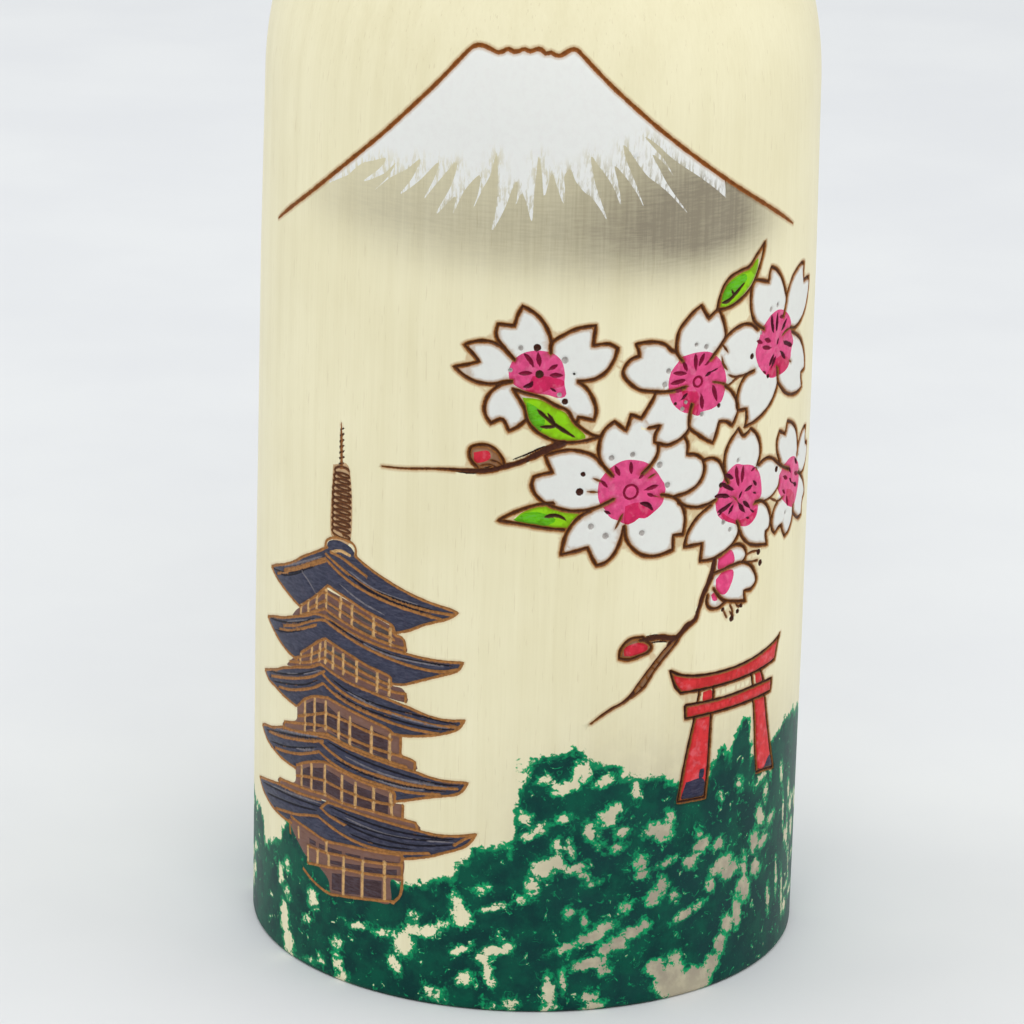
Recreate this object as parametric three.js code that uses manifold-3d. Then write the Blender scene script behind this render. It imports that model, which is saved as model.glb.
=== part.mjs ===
// A turned wooden kokeshi doll: a broad cylindrical body with a rounded shoulder, a head that
// turns on a wooden neck dowel, a separately turned hair cap glued over the head, and a plug that
// closes the lathe's chuck hole in the base.
//
// Millimetres, +Z up. The origin is the centre of the base, on the surface the doll stands on.
// The doll's face and its main decoration look towards -Y.

import * as THREE from "three";
import { mergeVertices } from "three/addons/utils/BufferGeometryUtils.js";
import Module from "manifold-3d";

// ---------------------------------------------------------------- driving dimensions (mm)
const FIT = 0.3; // gap left between pieces that touch, glue line or running clearance

// body
const BASE_R = 30.0; // radius at the foot
const FOOT_CHAMFER = 0.5; // small broken edge round the foot
const FOOT_RING_R = 21.0; // inside of the ring the doll stands on
const DISH_DEPTH = 0.8; // the underside is turned slightly hollow inside that ring
const SHOULDER_Z = 95.0; // the shoulder starts here
const SHOULDER_R = 29.45; // body radius there: it narrows very slightly on the way up
const NECK_Z = 122.0; // top of the body
const NECK_R = 13.0; // radius of the small flat the head sits over

// chuck hole and its plug
const CHUCK_R = 6.0;
const CHUCK_DEPTH = 14.0; // from the dished underside

// neck socket and dowel
const DOWEL_R = 6.0;
const MOUTH_R = DOWEL_R + FIT; // throat of the socket
const MOUTH_DEPTH = 9.0;
const CHAMBER_R = 7.3; // undercut chamber below the throat
const CHAMBER_DEPTH = 22.0; // from the neck flat to the socket's floor
const BEAD_R = 6.85; // bead on the dowel, wider than the throat, that keeps the head on
const BEAD_Z = NECK_Z - 13.0;
const DOWEL_FOOT_Z = NECK_Z - 20.5;
const DOWEL_TOP_Z = NECK_Z + 17.0;

// head: a slightly flattened ball
const HEAD_RX = 27.0;
const HEAD_RZ = 24.6;
const HEAD_SEAT_R = 12.4; // flat underside of the head
const HEAD_SEAT_Z = NECK_Z + FIT;
const HEAD_CZ = HEAD_SEAT_Z + HEAD_RZ * Math.sqrt(1 - (HEAD_SEAT_R / HEAD_RX) ** 2);
const HEAD_SOCKET_DEPTH = 18.0;

// hair: a turned shell, bobbed, with a window for the face
const HAIR_IN_RX = HEAD_RX + FIT;
const HAIR_IN_RZ = HEAD_RZ + FIT;
const HAIR_T = 1.9; // wall thickness at the side
const HAIR_OUT_RX = HAIR_IN_RX + HAIR_T;
const HAIR_OUT_RZ = HAIR_IN_RZ + HAIR_T;
const HAIR_HEM = -12.5; // lower edge, from the head's centre
const FACE_HALF_W = 17.5; // half width of the face window at the cheeks
const FRINGE_Z = 7.5; // fringe, from the head's centre
const FRINGE_ARCH = 1.6; // how much the fringe rises towards the middle

const RADIAL = 64; // facets round the big turned pieces
const RADIAL_SMALL = 40;

// ---------------------------------------------------------------- helpers
// Turns a closed profile of [radius, height] points about Z. The profile runs so that the solid
// lies on its left, starting and ending on the axis.
function turned(profile, segments) {
  const g = new THREE.LatheGeometry(
    profile.map(([r, z]) => new THREE.Vector2(r, z)),
    segments,
  );
  g.rotateX(Math.PI / 2); // Y-up lathe to Z-up part
  return g;
}

function arc(n, f) {
  return Array.from({ length: n + 1 }, (_, i) => f(i / n));
}

const wasm = await Module();
wasm.setup();

function solid(geometry) {
  const g = geometry.clone();
  for (const name of Object.keys(g.attributes))
    if (name !== "position") g.deleteAttribute(name);
  const m = mergeVertices(g, 1e-4);
  return new wasm.Manifold(
    new wasm.Mesh({
      numProp: 3,
      vertProperties: new Float32Array(m.attributes.position.array),
      triVerts: new Uint32Array(m.index.array),
    }),
  );
}

function geometryOf(manifold) {
  const m = manifold.getMesh();
  const g = new THREE.BufferGeometry();
  g.setAttribute("position", new THREE.BufferAttribute(new Float32Array(m.vertProperties), 3));
  g.setIndex(new THREE.BufferAttribute(new Uint32Array(m.triVerts), 1));
  g.computeVertexNormals();
  return g;
}

function piece(name, geometry, colour, roughness, z = 0) {
  const mesh = new THREE.Mesh(
    geometry,
    new THREE.MeshStandardMaterial({ color: colour, roughness, metalness: 0 }),
  );
  mesh.name = name;
  mesh.position.z = z;
  return mesh;
}

// ---------------------------------------------------------------- body
// From the chuck hole, out along the dished underside, up the side, over the shoulder and down
// into the neck socket.
const shoulder = (t) => {
  const top = Math.sqrt(1 - ((NECK_R - 12.3) / (SHOULDER_R - 12.3)) ** 2);
  const a = t * Math.asin(top);
  return [
    12.3 + (SHOULDER_R - 12.3) * Math.cos(a),
    SHOULDER_Z + ((NECK_Z - SHOULDER_Z) * Math.sin(a)) / top,
  ];
};
const bodyProfile = [
  [0, DISH_DEPTH + CHUCK_DEPTH],
  [CHUCK_R, DISH_DEPTH + CHUCK_DEPTH],
  [CHUCK_R, DISH_DEPTH],
  [FOOT_RING_R - 1.5, DISH_DEPTH],
  [FOOT_RING_R, 0],
  [BASE_R - FOOT_CHAMFER, 0],
  [BASE_R, FOOT_CHAMFER],
  [BASE_R, 34],
  [BASE_R - 0.14, 56],
  [BASE_R - 0.25, 76],
  ...arc(12, shoulder),
  [MOUTH_R, NECK_Z],
  [MOUTH_R, NECK_Z - MOUTH_DEPTH],
  [CHAMBER_R, NECK_Z - MOUTH_DEPTH - 1.2],
  [CHAMBER_R, NECK_Z - CHAMBER_DEPTH],
  [0, NECK_Z - CHAMBER_DEPTH],
];
const body = piece("body", turned(bodyProfile, RADIAL), 0xe3d9b4, 0.42);

// ---------------------------------------------------------------- plug in the base
const plugLength = CHUCK_DEPTH - 0.6 - FIT;
const plugProfile = [
  [0, 0],
  [CHUCK_R - FIT - 0.4, 0],
  [CHUCK_R - FIT, 0.4],
  [CHUCK_R - FIT, plugLength - 0.8],
  [CHUCK_R - FIT - 0.8, plugLength],
  [0, plugLength],
];
const basePlug = piece("base_plug", turned(plugProfile, 32), 0xd2bd8a, 0.6, DISH_DEPTH + 0.2);

// ---------------------------------------------------------------- neck dowel
const dowelProfile = [
  [0, DOWEL_FOOT_Z],
  [4.2, DOWEL_FOOT_Z],
  [5.6, DOWEL_FOOT_Z + 1.8],
  [5.9, BEAD_Z - 3.2],
  ...arc(6, (t) => {
    const a = Math.PI * t;
    return [DOWEL_R - 0.1 + (BEAD_R - DOWEL_R + 0.1) * Math.sin(a), BEAD_Z - 2.6 * Math.cos(a)];
  }),
  [DOWEL_R, BEAD_Z + 3.4],
  [DOWEL_R, DOWEL_TOP_Z - 1.0],
  [DOWEL_R - 1.0, DOWEL_TOP_Z],
  [0, DOWEL_TOP_Z],
];
const neckDowel = piece("neck_dowel", turned(dowelProfile, RADIAL_SMALL), 0xcdb27c, 0.6);

// ---------------------------------------------------------------- head
const seatAngle = Math.asin(HEAD_SEAT_R / HEAD_RX); // from straight down
const headProfile = [
  [0, HEAD_SEAT_Z + HEAD_SOCKET_DEPTH],
  [MOUTH_R, HEAD_SEAT_Z + HEAD_SOCKET_DEPTH],
  [MOUTH_R, HEAD_SEAT_Z],
  ...arc(18, (t) => {
    const a = seatAngle + (Math.PI - seatAngle) * t;
    return [t === 1 ? 0 : HEAD_RX * Math.sin(a), HEAD_CZ - HEAD_RZ * Math.cos(a)];
  }),
];
const head = piece("head", turned(headProfile, RADIAL), 0xeee4c6, 0.4);

// ---------------------------------------------------------------- hair cap
const hemIn = Math.acos(-HAIR_HEM / HAIR_IN_RZ);
const hemOut = Math.acos(-HAIR_HEM / HAIR_OUT_RZ);
const shellProfile = [
  [0, HAIR_IN_RZ],
  ...arc(12, (t) => {
    const a = Math.PI - (Math.PI - hemIn) * t;
    return [HAIR_IN_RX * Math.sin(a), -HAIR_IN_RZ * Math.cos(a)];
  }).slice(1),
  ...arc(12, (t) => {
    const a = hemOut + (Math.PI - hemOut) * t;
    return [HAIR_OUT_RX * Math.sin(a), -HAIR_OUT_RZ * Math.cos(a)];
  }).slice(0, -1),
  [0, HAIR_OUT_RZ],
];
const shell = solid(turned(shellProfile, RADIAL));

const windowShape = new THREE.Shape();
windowShape.moveTo(-FACE_HALF_W - 1.5, HAIR_HEM - 6);
windowShape.lineTo(-FACE_HALF_W, 0);
windowShape.quadraticCurveTo(-FACE_HALF_W + 0.4, FRINGE_Z - 0.6, -FACE_HALF_W + 3.6, FRINGE_Z);
windowShape.quadraticCurveTo(0, FRINGE_Z + 2 * FRINGE_ARCH, FACE_HALF_W - 3.6, FRINGE_Z);
windowShape.quadraticCurveTo(FACE_HALF_W - 0.4, FRINGE_Z - 0.6, FACE_HALF_W, 0);
windowShape.lineTo(FACE_HALF_W + 1.5, HAIR_HEM - 6);
windowShape.closePath();
const windowCut = new THREE.ExtrudeGeometry(windowShape, {
  depth: 40,
  bevelEnabled: false,
  curveSegments: 8,
});
windowCut.rotateX(Math.PI / 2); // the shape's XY becomes the part's XZ, cut towards -Y
const hairCap = piece(
  "hair_cap",
  geometryOf(shell.subtract(solid(windowCut))),
  0x241c1a,
  0.45,
  HEAD_CZ,
);

// ---------------------------------------------------------------- assembly
const doll = new THREE.Group();
doll.name = "kokeshi_doll";
const fixed = new THREE.Group();
fixed.name = "standing_body";
fixed.add(body, basePlug);
const turning = new THREE.Group();
turning.name = "turning_head";
turning.add(neckDowel, head, hairCap);
doll.add(fixed, turning);

export default doll;
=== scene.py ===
import math

import bpy
import numpy as np
from mathutils import Matrix, Vector
from mathutils.geometry import delaunay_2d_cdt


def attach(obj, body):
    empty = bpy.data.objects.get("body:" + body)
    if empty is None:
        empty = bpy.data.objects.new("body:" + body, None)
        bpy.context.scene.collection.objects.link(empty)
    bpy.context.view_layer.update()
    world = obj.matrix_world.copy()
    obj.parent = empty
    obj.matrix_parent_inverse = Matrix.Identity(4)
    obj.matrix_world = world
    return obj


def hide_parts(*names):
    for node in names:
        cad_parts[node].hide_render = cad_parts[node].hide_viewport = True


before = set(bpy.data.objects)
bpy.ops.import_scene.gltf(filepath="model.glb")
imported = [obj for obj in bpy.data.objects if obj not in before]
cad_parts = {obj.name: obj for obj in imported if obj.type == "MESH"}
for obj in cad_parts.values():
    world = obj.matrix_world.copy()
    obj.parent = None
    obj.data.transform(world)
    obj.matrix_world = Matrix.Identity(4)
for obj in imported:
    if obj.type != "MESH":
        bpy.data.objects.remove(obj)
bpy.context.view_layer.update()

# A turned wooden kokeshi doll. The body is one skin of triangles laid out flat, with the drawing's
# engraved lines as edges of the mesh, and then rolled round the turned profile. All drawing
# sizes are millimetres until the meshes are made; Blender's are metres.

MM = 0.001
PI = math.pi

# ------------------------------------------------------------------ the CAD's own dimensions (mm)
BASE_R, FOOT_RING_R, DISH = 30.0, 21.0, 0.8
SHOULDER_Z, SHOULDER_R, NECK_Z, NECK_R = 95.0, 29.45, 122.0, 13.0
CHUCK_R, CHUCK_DEPTH = 6.0, 14.0
DOWEL_R, MOUTH_R, MOUTH_DEPTH, CHAMBER_R, CHAMBER_DEPTH = 6.0, 6.3, 9.0, 7.3, 22.0
HEAD_RX, HEAD_RZ, HEAD_SEAT_R, HEAD_SEAT_Z = 27.0, 24.6, 12.4, NECK_Z + 0.3
HEAD_CZ = HEAD_SEAT_Z + HEAD_RZ * math.sqrt(1 - (HEAD_SEAT_R / HEAD_RX) ** 2)
HAIR_IN_RX, HAIR_IN_RZ, HAIR_T = HEAD_RX + 0.3, HEAD_RZ + 0.3, 1.9
HAIR_HEM, FACE_HALF_W, FRINGE_Z, FRINGE_ARCH = -12.5, 17.5, 7.5, 1.6


def srgb(r, g, b):
    """Linear colour of an 8-bit screen colour."""
    def f(c):
        c = c / 255
        return c / 12.92 if c <= 0.04045 else ((c + 0.055) / 1.055) ** 2.4
    return (f(r), f(g), f(b))


# ------------------------------------------------------------------ the drawing
# Points are in tenths of a millimetre on the body's unrolled skin: x to the right, 470 being the
# middle of the front, and y down, 1090 being the foot. "!" marks a sharp corner.
#
# Line styles: width, depth, colour in the groove, strength of the scorched edge.
STYLES = {
    "outline": (0.52, 0.24, srgb(84, 46, 20), 1.0),
    "thin": (0.34, 0.15, srgb(84, 46, 30), 0.7),
    "faint": (0.24, 0.10, srgb(128, 108, 92), 0.3),
    "mountain": (0.48, 0.18, srgb(138, 76, 26), 0.8),
    "gate": (0.48, 0.24, srgb(56, 26, 14), 0.8),
    "tan": (0.34, 0.13, srgb(172, 120, 68), 0.3),
    "tan_thin": (0.36, 0.10, srgb(214, 172, 116), 0.0),
    "coil": (0.34, 0.14, srgb(88, 52, 32), 0.3),
    "ink": (0.26, 0.10, srgb(26, 26, 38), 0.0),
    "glint": (0.22, 0.05, srgb(122, 118, 124), 0.0),
    "rose": (0.56, 0.22, srgb(132, 14, 54), 0.0),
    "wine": (0.56, 0.24, srgb(84, 12, 36), 0.0),
    "vein": (0.46, 0.18, srgb(52, 34, 12), 0.2),
}

# Blossoms: the disc in the middle, its deeper red patch, and each petal's outline. A petal's
# outline starts and ends at the middle, unless it is cut short by what lies over it.
BLOSSOMS = [
    dict(
        middle=(470, 381),
        disc="441,380 445,369 456,360 470,357 485,359 495,367 499,380 499,392 501,404 493,407 482,404 466,402 452,397 443,390",
        deep="466,384 480,384 497,388 498,394 484,398 472,403 460,401 463,392",
        petals=[
            "447,368 438,358 430,349 427,341 429,331! 446,332! 449,321 454,311! 468,319 478,331 484,346 484,360",
            "445,391 436,392 425,395 408,394 394,388 384,380! 399,376 410,372! 403,364 394,356! 400,353 412,350 425,351 437,358 447,368",
            "445,391 433,395 422,405 417,417 418,428 424,437! 433,432 438,434 443,444! 452,439 461,431",
            "484,360 485,349 496,341 511,334 530,331! 529,341 528,352! 544,351 554,356! 551,367 543,380 530,388 513,390",
            "513,390 522,397 529,408 533,421 531,432! 515,428! 513,434",
        ],
        rose=["457,361 462,366 466,373", "471,360 473,373", "491,372 483,377", "452,382 465,381", "484,383 497,383"],
        wine=["457,396 464,394 466,390", "485,397 490,400"],
        eye=(473, 382, 4.6),
        pits=[(470, 354, 4.2, 0), (500, 411, 3.6, 0), (509, 382, 3.2, 2), (499, 367, 4.4, 1), (453, 355, 3.4, 1), (443, 379, 3.0, 1), (494, 404, 3.2, 1)],
    ),
    dict(
        middle=(648, 401),
        disc="628,371 645,369 662,371 675,380 683,393 686,404 686,408 684,418 679,428 667,433 656,434 650,438 643,435 630,431 618,421 613,409 612,395 616,384 622,377",
        deep="628,408 641,410 648,412 650,424 648,437 641,434 632,430 630,418",
        petals=[
            "628,376 621,366 621,352 624,342 632,333 641,325 650,320! 655,328 660,335! 667,330 673,328 678,336 682,346 684,357 679,365 672,372 664,380",
            "621,366 614,363 608,357 598,353 586,352 574,353! 577,360 578,366! 569,369 562,377 561,385 568,394 579,402 592,405 606,407 620,407 633,405",
            "598,407 594,415 589,423 583,432",
            "591,444 604,443! 599,451 598,460! 606,463 614,465 625,462 634,457 640,450",
            "642,424 640,432 639,441 640,450 650,458 660,465 671,471! 675,462 679,449! 689,451 698,457! 703,449 706,441 702,428 694,418 686,412",
        ],
        whites=[
            "598,407 594,415 589,423 583,432 582,441 591,444 604,443 599,451 598,460 606,463 614,465 625,462 634,457 640,450 640,430 642,424 620,407",
            "679,365 688,376 682,385 688,396 696,408 688,412 670,404",
        ],
        rose=["644,371 645,387", "655,372 649,384", "629,377 634,387", "618,388 633,390", "615,399 632,397", "653,416 655,431", "668,408 671,417 674,425", "617,407 630,407", "663,380 658,384"],
        wine=["658,396 665,393", "669,392 673,391", "635,412 629,417"],
        thin=["679,366 684,371 688,376", "686,412 692,411 700,407 706,406", "667,404 678,407 689,411"],
        ring=(648, 401, 5.4),
        pits=[(621, 421, 2.0, 0), (677, 431, 2.6, 0), (608, 399, 3.8, 1), (612, 385, 3.6, 1), (645, 361, 2.8, 1), (658, 365, 3.6, 1), (630, 428, 3.2, 1), (655, 437, 3.4, 1), (634, 421, 2.6, 1)],
    ),
    dict(
        middle=(768, 382),
        disc="755,349 768,346 782,349 793,356 801,366 804,379 809,390 804,399 803,408 797,415 788,418 775,419 760,418 748,411 738,402 732,392 730,382 735,373 738,364 745,356",
        deep="752,412 762,402 778,398 792,402 800,408 794,416 776,418 760,417",
        petals=[
            "746,362 735,356 727,349 722,338 720,324 722,312 727,305! 738,308 751,312! 752,303 755,297! 766,302 777,313 785,327 789,338 787,347 784,356",
            "789,338 794,328 803,318 815,312 827,309 837,311! 835,320 837,330! 848,330 859,332! 856,347 847,362 832,372 815,376 802,373",
            "806,378 820,385 833,393 844,405 851,418 854,431! 838,432! 841,441 845,449! 830,451 812,449 796,443 784,434 776,425 775,417 774,411",
            "730,404 720,405 713,409 707,417 704,428 706,441 719,443! 720,453 718,462! 733,460 750,454 764,445 773,434 776,425",
            "679,365 688,357 699,352 712,350 724,353 734,360",
        ],
        whites=["679,365 688,357 699,352 712,350 724,353 736,362 742,384 731,404 710,405 698,404 689,400 682,390 680,378"],
        rose=["733,372 742,376", "747,373 758,378", "743,381 758,385", "746,408 751,411", "775,355 786,357"],
        wine=["758,350 760,360 763,369", "770,350 769,369", "791,361 780,371", "786,385 796,389 807,394", "780,394 791,404", "769,397 762,406", "765,394 757,404", "774,378 771,384"],
        thin=["689,400 698,404 710,405 722,404 731,403", "679,379 682,388 688,395", "781,377 790,374 801,373", "800,408 807,412"],
        pits=[(725, 387, 3.4, 0), (755, 415, 2.6, 0), (757, 343, 3.6, 1), (770, 341, 3.4, 1), (740, 365, 2.6, 1)],
    ),
    dict(
        middle=(573, 511),
        disc="543,490 553,481 565,476 578,477 590,481 600,490 607,500 612,508 612,516 609,527 600,535 590,541 582,540 577,544 567,545 560,541 551,537 545,528 539,520 537,510 538,498",
        deep="567,526 578,523 590,525 600,533 592,540 583,540 577,544 567,545",
        petals=[
            "552,492 541,479 537,468 538,453 543,442 553,434! 566,445! 571,428! 583,433",
            "603,462 602,473 595,484 585,493",
            "541,480 533,471 523,466 508,463 493,465 481,469! 485,479 489,487! 479,489 470,492! 468,501 472,511 482,520 497,526 512,529 528,528 541,524 554,518",
            "530,529 519,535 510,545 504,557 500,576! 514,573 528,569! 533,580 538,589! 548,586 557,577 563,564 567,548",
            "567,548 570,563 579,575 590,582 606,584 624,580! 624,564! 636,565! 638,551 636,538 629,527 619,521 608,518",
            "633,457 638,466 638,478! 649,480 658,486! 661,496 658,507 650,515 638,520 622,522",
        ],
        whites=[
            "541,480 537,468 538,453 543,442 553,434 566,445 571,428 583,433 582,444 591,445 604,443 599,451 598,460 603,463 602,473 595,484 585,493 570,505 552,492",
            "603,463 614,465 625,462 633,457 638,466 638,478 649,480 658,486 661,496 658,507 650,515 638,520 622,522 606,517 590,500 595,484",
        ],
        rose=["555,482 560,492", "572,479 573,491", "590,510 603,507", "592,515 599,518", "541,497 547,504", "549,487 554,494", "587,493 582,497"],
        wine=["584,524 593,527 598,533", "545,530 551,533"],
        thin=["532,494 541,498", "526,508 537,509", "565,534 561,542 557,550", "600,494 592,498"],
        ring=(573, 511, 7.6),
        pits=[(521, 489, 2.8, 0), (518, 508, 4.4, 0), (531, 546, 4.0, 1), (547, 557, 4.4, 1), (605, 485, 4.4, 1), (615, 508, 4.0, 1), (587, 557, 3.8, 1), (551, 473, 3.8, 1), (574, 471, 3.6, 1)],
    ),
    dict(
        middle=(712, 538),
        disc="690,509 697,503 706,500 716,503 726,505 737,510 745,519 749,531 750,543 745,550 744,560 740,567 731,572 721,572 710,568 700,563 690,559 682,553 678,545 677,535 681,524 686,515",
        deep="682,545 696,556 712,563 730,562 742,556 738,568 722,571 704,565 690,558",
        petals=[
            "695,519 690,508 688,496 690,483 697,472 708,462! 715,471 722,470 728,466! 737,473 744,484 746,497 741,511",
            "659,488 669,487 679,491 686,500 692,515",
            "629,529 640,535 654,538 668,537 678,534",
            "672,539 658,546 648,555 641,566 638,579! 661,579! 660,588 659,598! 673,599 688,596 702,590 712,581 714,572 710,564",
            "714,574 721,585 732,594 746,599 766,603! 763,595 762,588! 768,586 771,578 769,568 761,557 751,551 740,550",
            "741,512 751,507 762,506 773,510 785,518 797,525 811,531",
        ],
        whites=[
            "661,496 659,488 669,487 679,491 686,500 692,515 700,530 678,534 668,537 654,538 640,535 629,529 622,522 638,520 650,515 658,507",
            "741,512 751,507 762,506 773,510 783,516 788,528 788,538 784,544 777,549 766,552 754,552 740,550 735,530",
        ],
        rose=["706,503 708,515 711,525", "717,505 716,522", "731,513 737,511"],
        wine=["690,508 696,512 702,515", "685,517 694,523 703,528", "676,530 686,531 697,534", "735,525 741,531", "722,533 733,530", "736,538 741,540", "716,533 712,539", "681,548 691,546 700,542", "682,552 687,549", "697,553 703,545", "712,545 717,551 722,556", "719,544 724,548 730,553", "733,557 738,560", "725,563 730,565"],
        thin=["741,550 754,552 766,552 777,549 786,543 788,536", "768,552 776,556 785,560", "705,537 709,541"],
        pits=[(780, 523, 3.6, 0), (684, 519, 3.0, 0), (709, 497, 3.0, 1), (690, 561, 3.4, 1), (700, 571, 3.2, 1), (744, 512, 2.6, 1)],
    ),
    dict(
        middle=(814, 548),
        disc="786,531 796,524 806,520 816,519 828,522 838,530 844,540 845,551 841,562 835,572 828,578 815,574 805,568 796,561 788,552 784,544",
        deep="806,552 818,556 830,566 828,576 815,573 806,566",
        petals=[
            "788,517 781,505 779,493 784,482! 799,489! 803,476! 816,481 828,490 834,501 837,514 836,522",
            "838,514 847,504 860,499 873,501! 869,510 871,518! 885,523! 881,536 870,546 856,549 844,544",
            "829,577 829,584 838,591 850,597 865,598! 864,588 866,581! 877,577! 872,566 862,555 848,546",
            "785,561 778,567 774,577 775,588 782,595! 789,591 797,590! 801,598 807,605! 817,602 825,594 829,584",
        ],
        whites=["785,561 790,553 815,550 829,577 829,584 825,594 817,602 807,605 801,598 797,590 789,591 782,595 775,588 774,577 778,567"],
        rose=["798,536 808,541", "830,541 842,545", "797,551 803,556", "807,560 812,572"],
        wine=["828,524 837,532", "815,543 820,548", "828,552 838,557", "812,530 818,537"],
        thin=["785,560 792,560 800,558"],
        pits=[(843, 524, 3.2, 1), (806, 578, 3.2, 1)],
    ),
]

# The blossom seen from the side, its two petals, the small one behind and the stamens.
SIDE_BLOSSOM = dict(
    outlines=["701,591 712,590 722,594 727,601 727,607 722,612", "678,615 690,614 705,612 722,612 735,618 743,627 747,637 743,643 737,646! 726,645! 727,651 729,657! 715,654 703,651 694,648 686,641 679,632", "671,638 670,646 675,653 686,655 696,651"],
    whites=["683,597 700,591 712,590 722,594 727,601 727,607 722,612 705,612 690,614 680,614", "678,617 690,615 705,613 722,613 735,618 743,627 747,637 743,643 737,646 726,645 727,651 727,656 715,654 703,651 694,648 686,641 679,632", "672,637 671,646 676,652 686,654 695,651 686,642 679,633"],
    pinks=["684,598 699,593 706,598 707,610 690,612 683,610", "681,622 690,616 705,616 707,624 702,635 696,641 689,640 682,632", "675,638 680,636 685,645 678,645"],
    stamens=["727,606 735,604 746,605", "727,613 738,615 748,616", "703,654 708,663 706,671", "712,655 717,660 721,659", "694,659 699,668", "703,662 709,668"],
    tips=[(749, 607, 4.6), (753, 620, 4.8), (707, 671, 4.8), (722, 660, 3.6), (693, 658, 3.4), (716, 665, 3.6)],
)

LEAVES = [
    dict(
        outline="446,399! 460,403 476,407 490,415 503,421 509,431 517,439 527,446 537,450! 520,454 500,455 485,451 471,443 462,432 458,418 452,408 446,399!",
        fill="456,407 474,409 489,417 501,423 507,432 515,440 522,447 521,451 500,453 486,449 473,442 464,431 460,419",
        dark="461,412 472,418 480,432 474,444 465,432 461,420",
        veins=["472,420 487,433 500,442 511,449", "483,424 487,430 491,437", "475,438 484,438 493,437"],
    ),
    dict(
        outline="671,328! 674,315 680,303 690,295 705,291 717,289 728,279 742,268! 738,282 731,297 724,308 712,318 697,325 684,328 671,328!",
        fill="672,326 676,313 683,303 692,297 706,293 718,290 728,283 731,284 728,296 720,307 709,316 695,323 682,326",
        dark="676,318 681,305 692,299 708,295 712,302 700,310 686,318",
        veins=["677,321 686,320 696,314 709,305", "690,309 692,313 696,315"],
    ),
    dict(
        outline="503,549 490,548 475,546 455,543 434,541! 445,534 460,527 475,522 491,520",
        fill="450,539 460,530 475,524 490,522 503,527 519,530 511,539 505,548 490,547 465,544",
        dark="450,539 462,531 478,530 494,538 480,545 462,543",
        veins=["482,535 492,533 500,535 504,538"],
    ),
]

# Twigs: x, y and width at each point, and thin branches beside them.
TWIGS = [
    [(303, 499, 2.6), (330, 496.5, 3.2), (362, 492, 3.6), (386, 490, 5), (410, 489, 7), (425, 487, 8), (440, 482, 7), (455, 477, 7), (468, 470.5, 8), (480, 464, 9), (492, 458, 11), (500, 455.5, 9)],
    [(537, 763, 3), (548, 755, 4), (560, 747.5, 4.4), (572, 742, 5), (583, 733, 6)],
    [(580, 735, 4), (591, 720, 4), (603, 705.5, 4), (614, 693, 4), (623, 685, 4.4)],
    [(582, 737, 4), (595, 727.5, 4), (605, 713, 4), (616, 700, 4), (627, 689, 4.4), (634, 681, 5)],
    [(597, 715, 2.4), (599, 721, 2.4)], [(588, 725, 2.4), (594, 729, 2.4)], [(609, 701, 2.4), (613, 704, 2.4)], [(604, 707, 2.2), (608, 710, 2.2)],
    [(623, 684, 6), (636, 675, 8), (645, 667, 8.6), (655, 662, 8), (660, 650, 6), (664, 638, 8), (670, 627, 9), (676, 614, 9), (679, 600, 8)],
    [(592, 675, 6), (602, 674, 8), (613, 674.5, 9), (624, 677, 8), (634, 678, 7)],
]
TWIG_LINES = ["448,474 462,468 476,461 488,457", "448,481 462,476 474,470", "596,671 606,671 616,673", "599,679 611,679 622,681", "655,655 661,644 668,634", "428,482 420,485 412,487", "390,492 402,492 415,491"]
BUDS = [
    dict(
        bark="402,470 404,464 412,461 422,461 431,466 437,474 439,480 430,487 415,487 407,481",
        outline="411,485 404,478 402,470 404,464 412,461 422,461 431,466 437,474 439,480",
        red="407,469 422,466 424,475 409,480",
        marks=["424,476 432,478 438,482", "414,483 423,481 431,483", "413,487 424,487 433,486"],
    ),
    dict(
        bark="566,692 567,684 573,676 581,673 592,673 598,680 599,687 594,691 580,694",
        outline="592,672 581,672 573,676 567,684 566,693! 577,695 590,692 599,689 602,683 596,677 588,675",
        red="571,690 571,682 579,678 591,677 597,681 597,686 590,689 578,691",
        marks=[],
    ),
]

GATE = dict(
    reds=[
        "634,721 660,726 700,730 740,729 775,725 796,721 791,731 788,737 740,739 700,740 660,739 642,738 637,730",
        "669,745 681,745 681,755 669,755", "751,744 763,744 768,756 754,756",
        "651,761 690,761 740,762 784,764 782,771 730,770 690,769 654,768",
        "661,775 679,776 678,800 675,842 648,842 653,812",
        "754,776 772,776 778,800 786,828 790,848 780,857 766,856 762,835 758,812",
    ],
    navies=["650,843 673,843 675,863 646,863", "764,856 775,859 784,850 792,848 798,862 766,859", "668,832 674,832 673,842 667,841"],
    outlines=[
        "626,714! 640,721 665,726 700,728 735,727 770,723 795,718 804,714! 798,724 793,740! 770,742 735,743 700,743 665,742 640,741! 632,731 626,714!",
        "665,742! 662,756!", "684,742! 684,756!", "745,743! 748,757!", "763,743! 769,757!",
        "646,756! 700,758 745,758 787,760! 786,774! 740,773 690,772 647,771! 646,756!",
        "659,773! 655,790 648,822 641,864! 677,866! 680,832 681,800 682,773!",
        "750,774! 754,800 757,830 762,860! 780,862 800,866! 792,845 785,822 779,800 773,774!",
    ],
)

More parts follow.
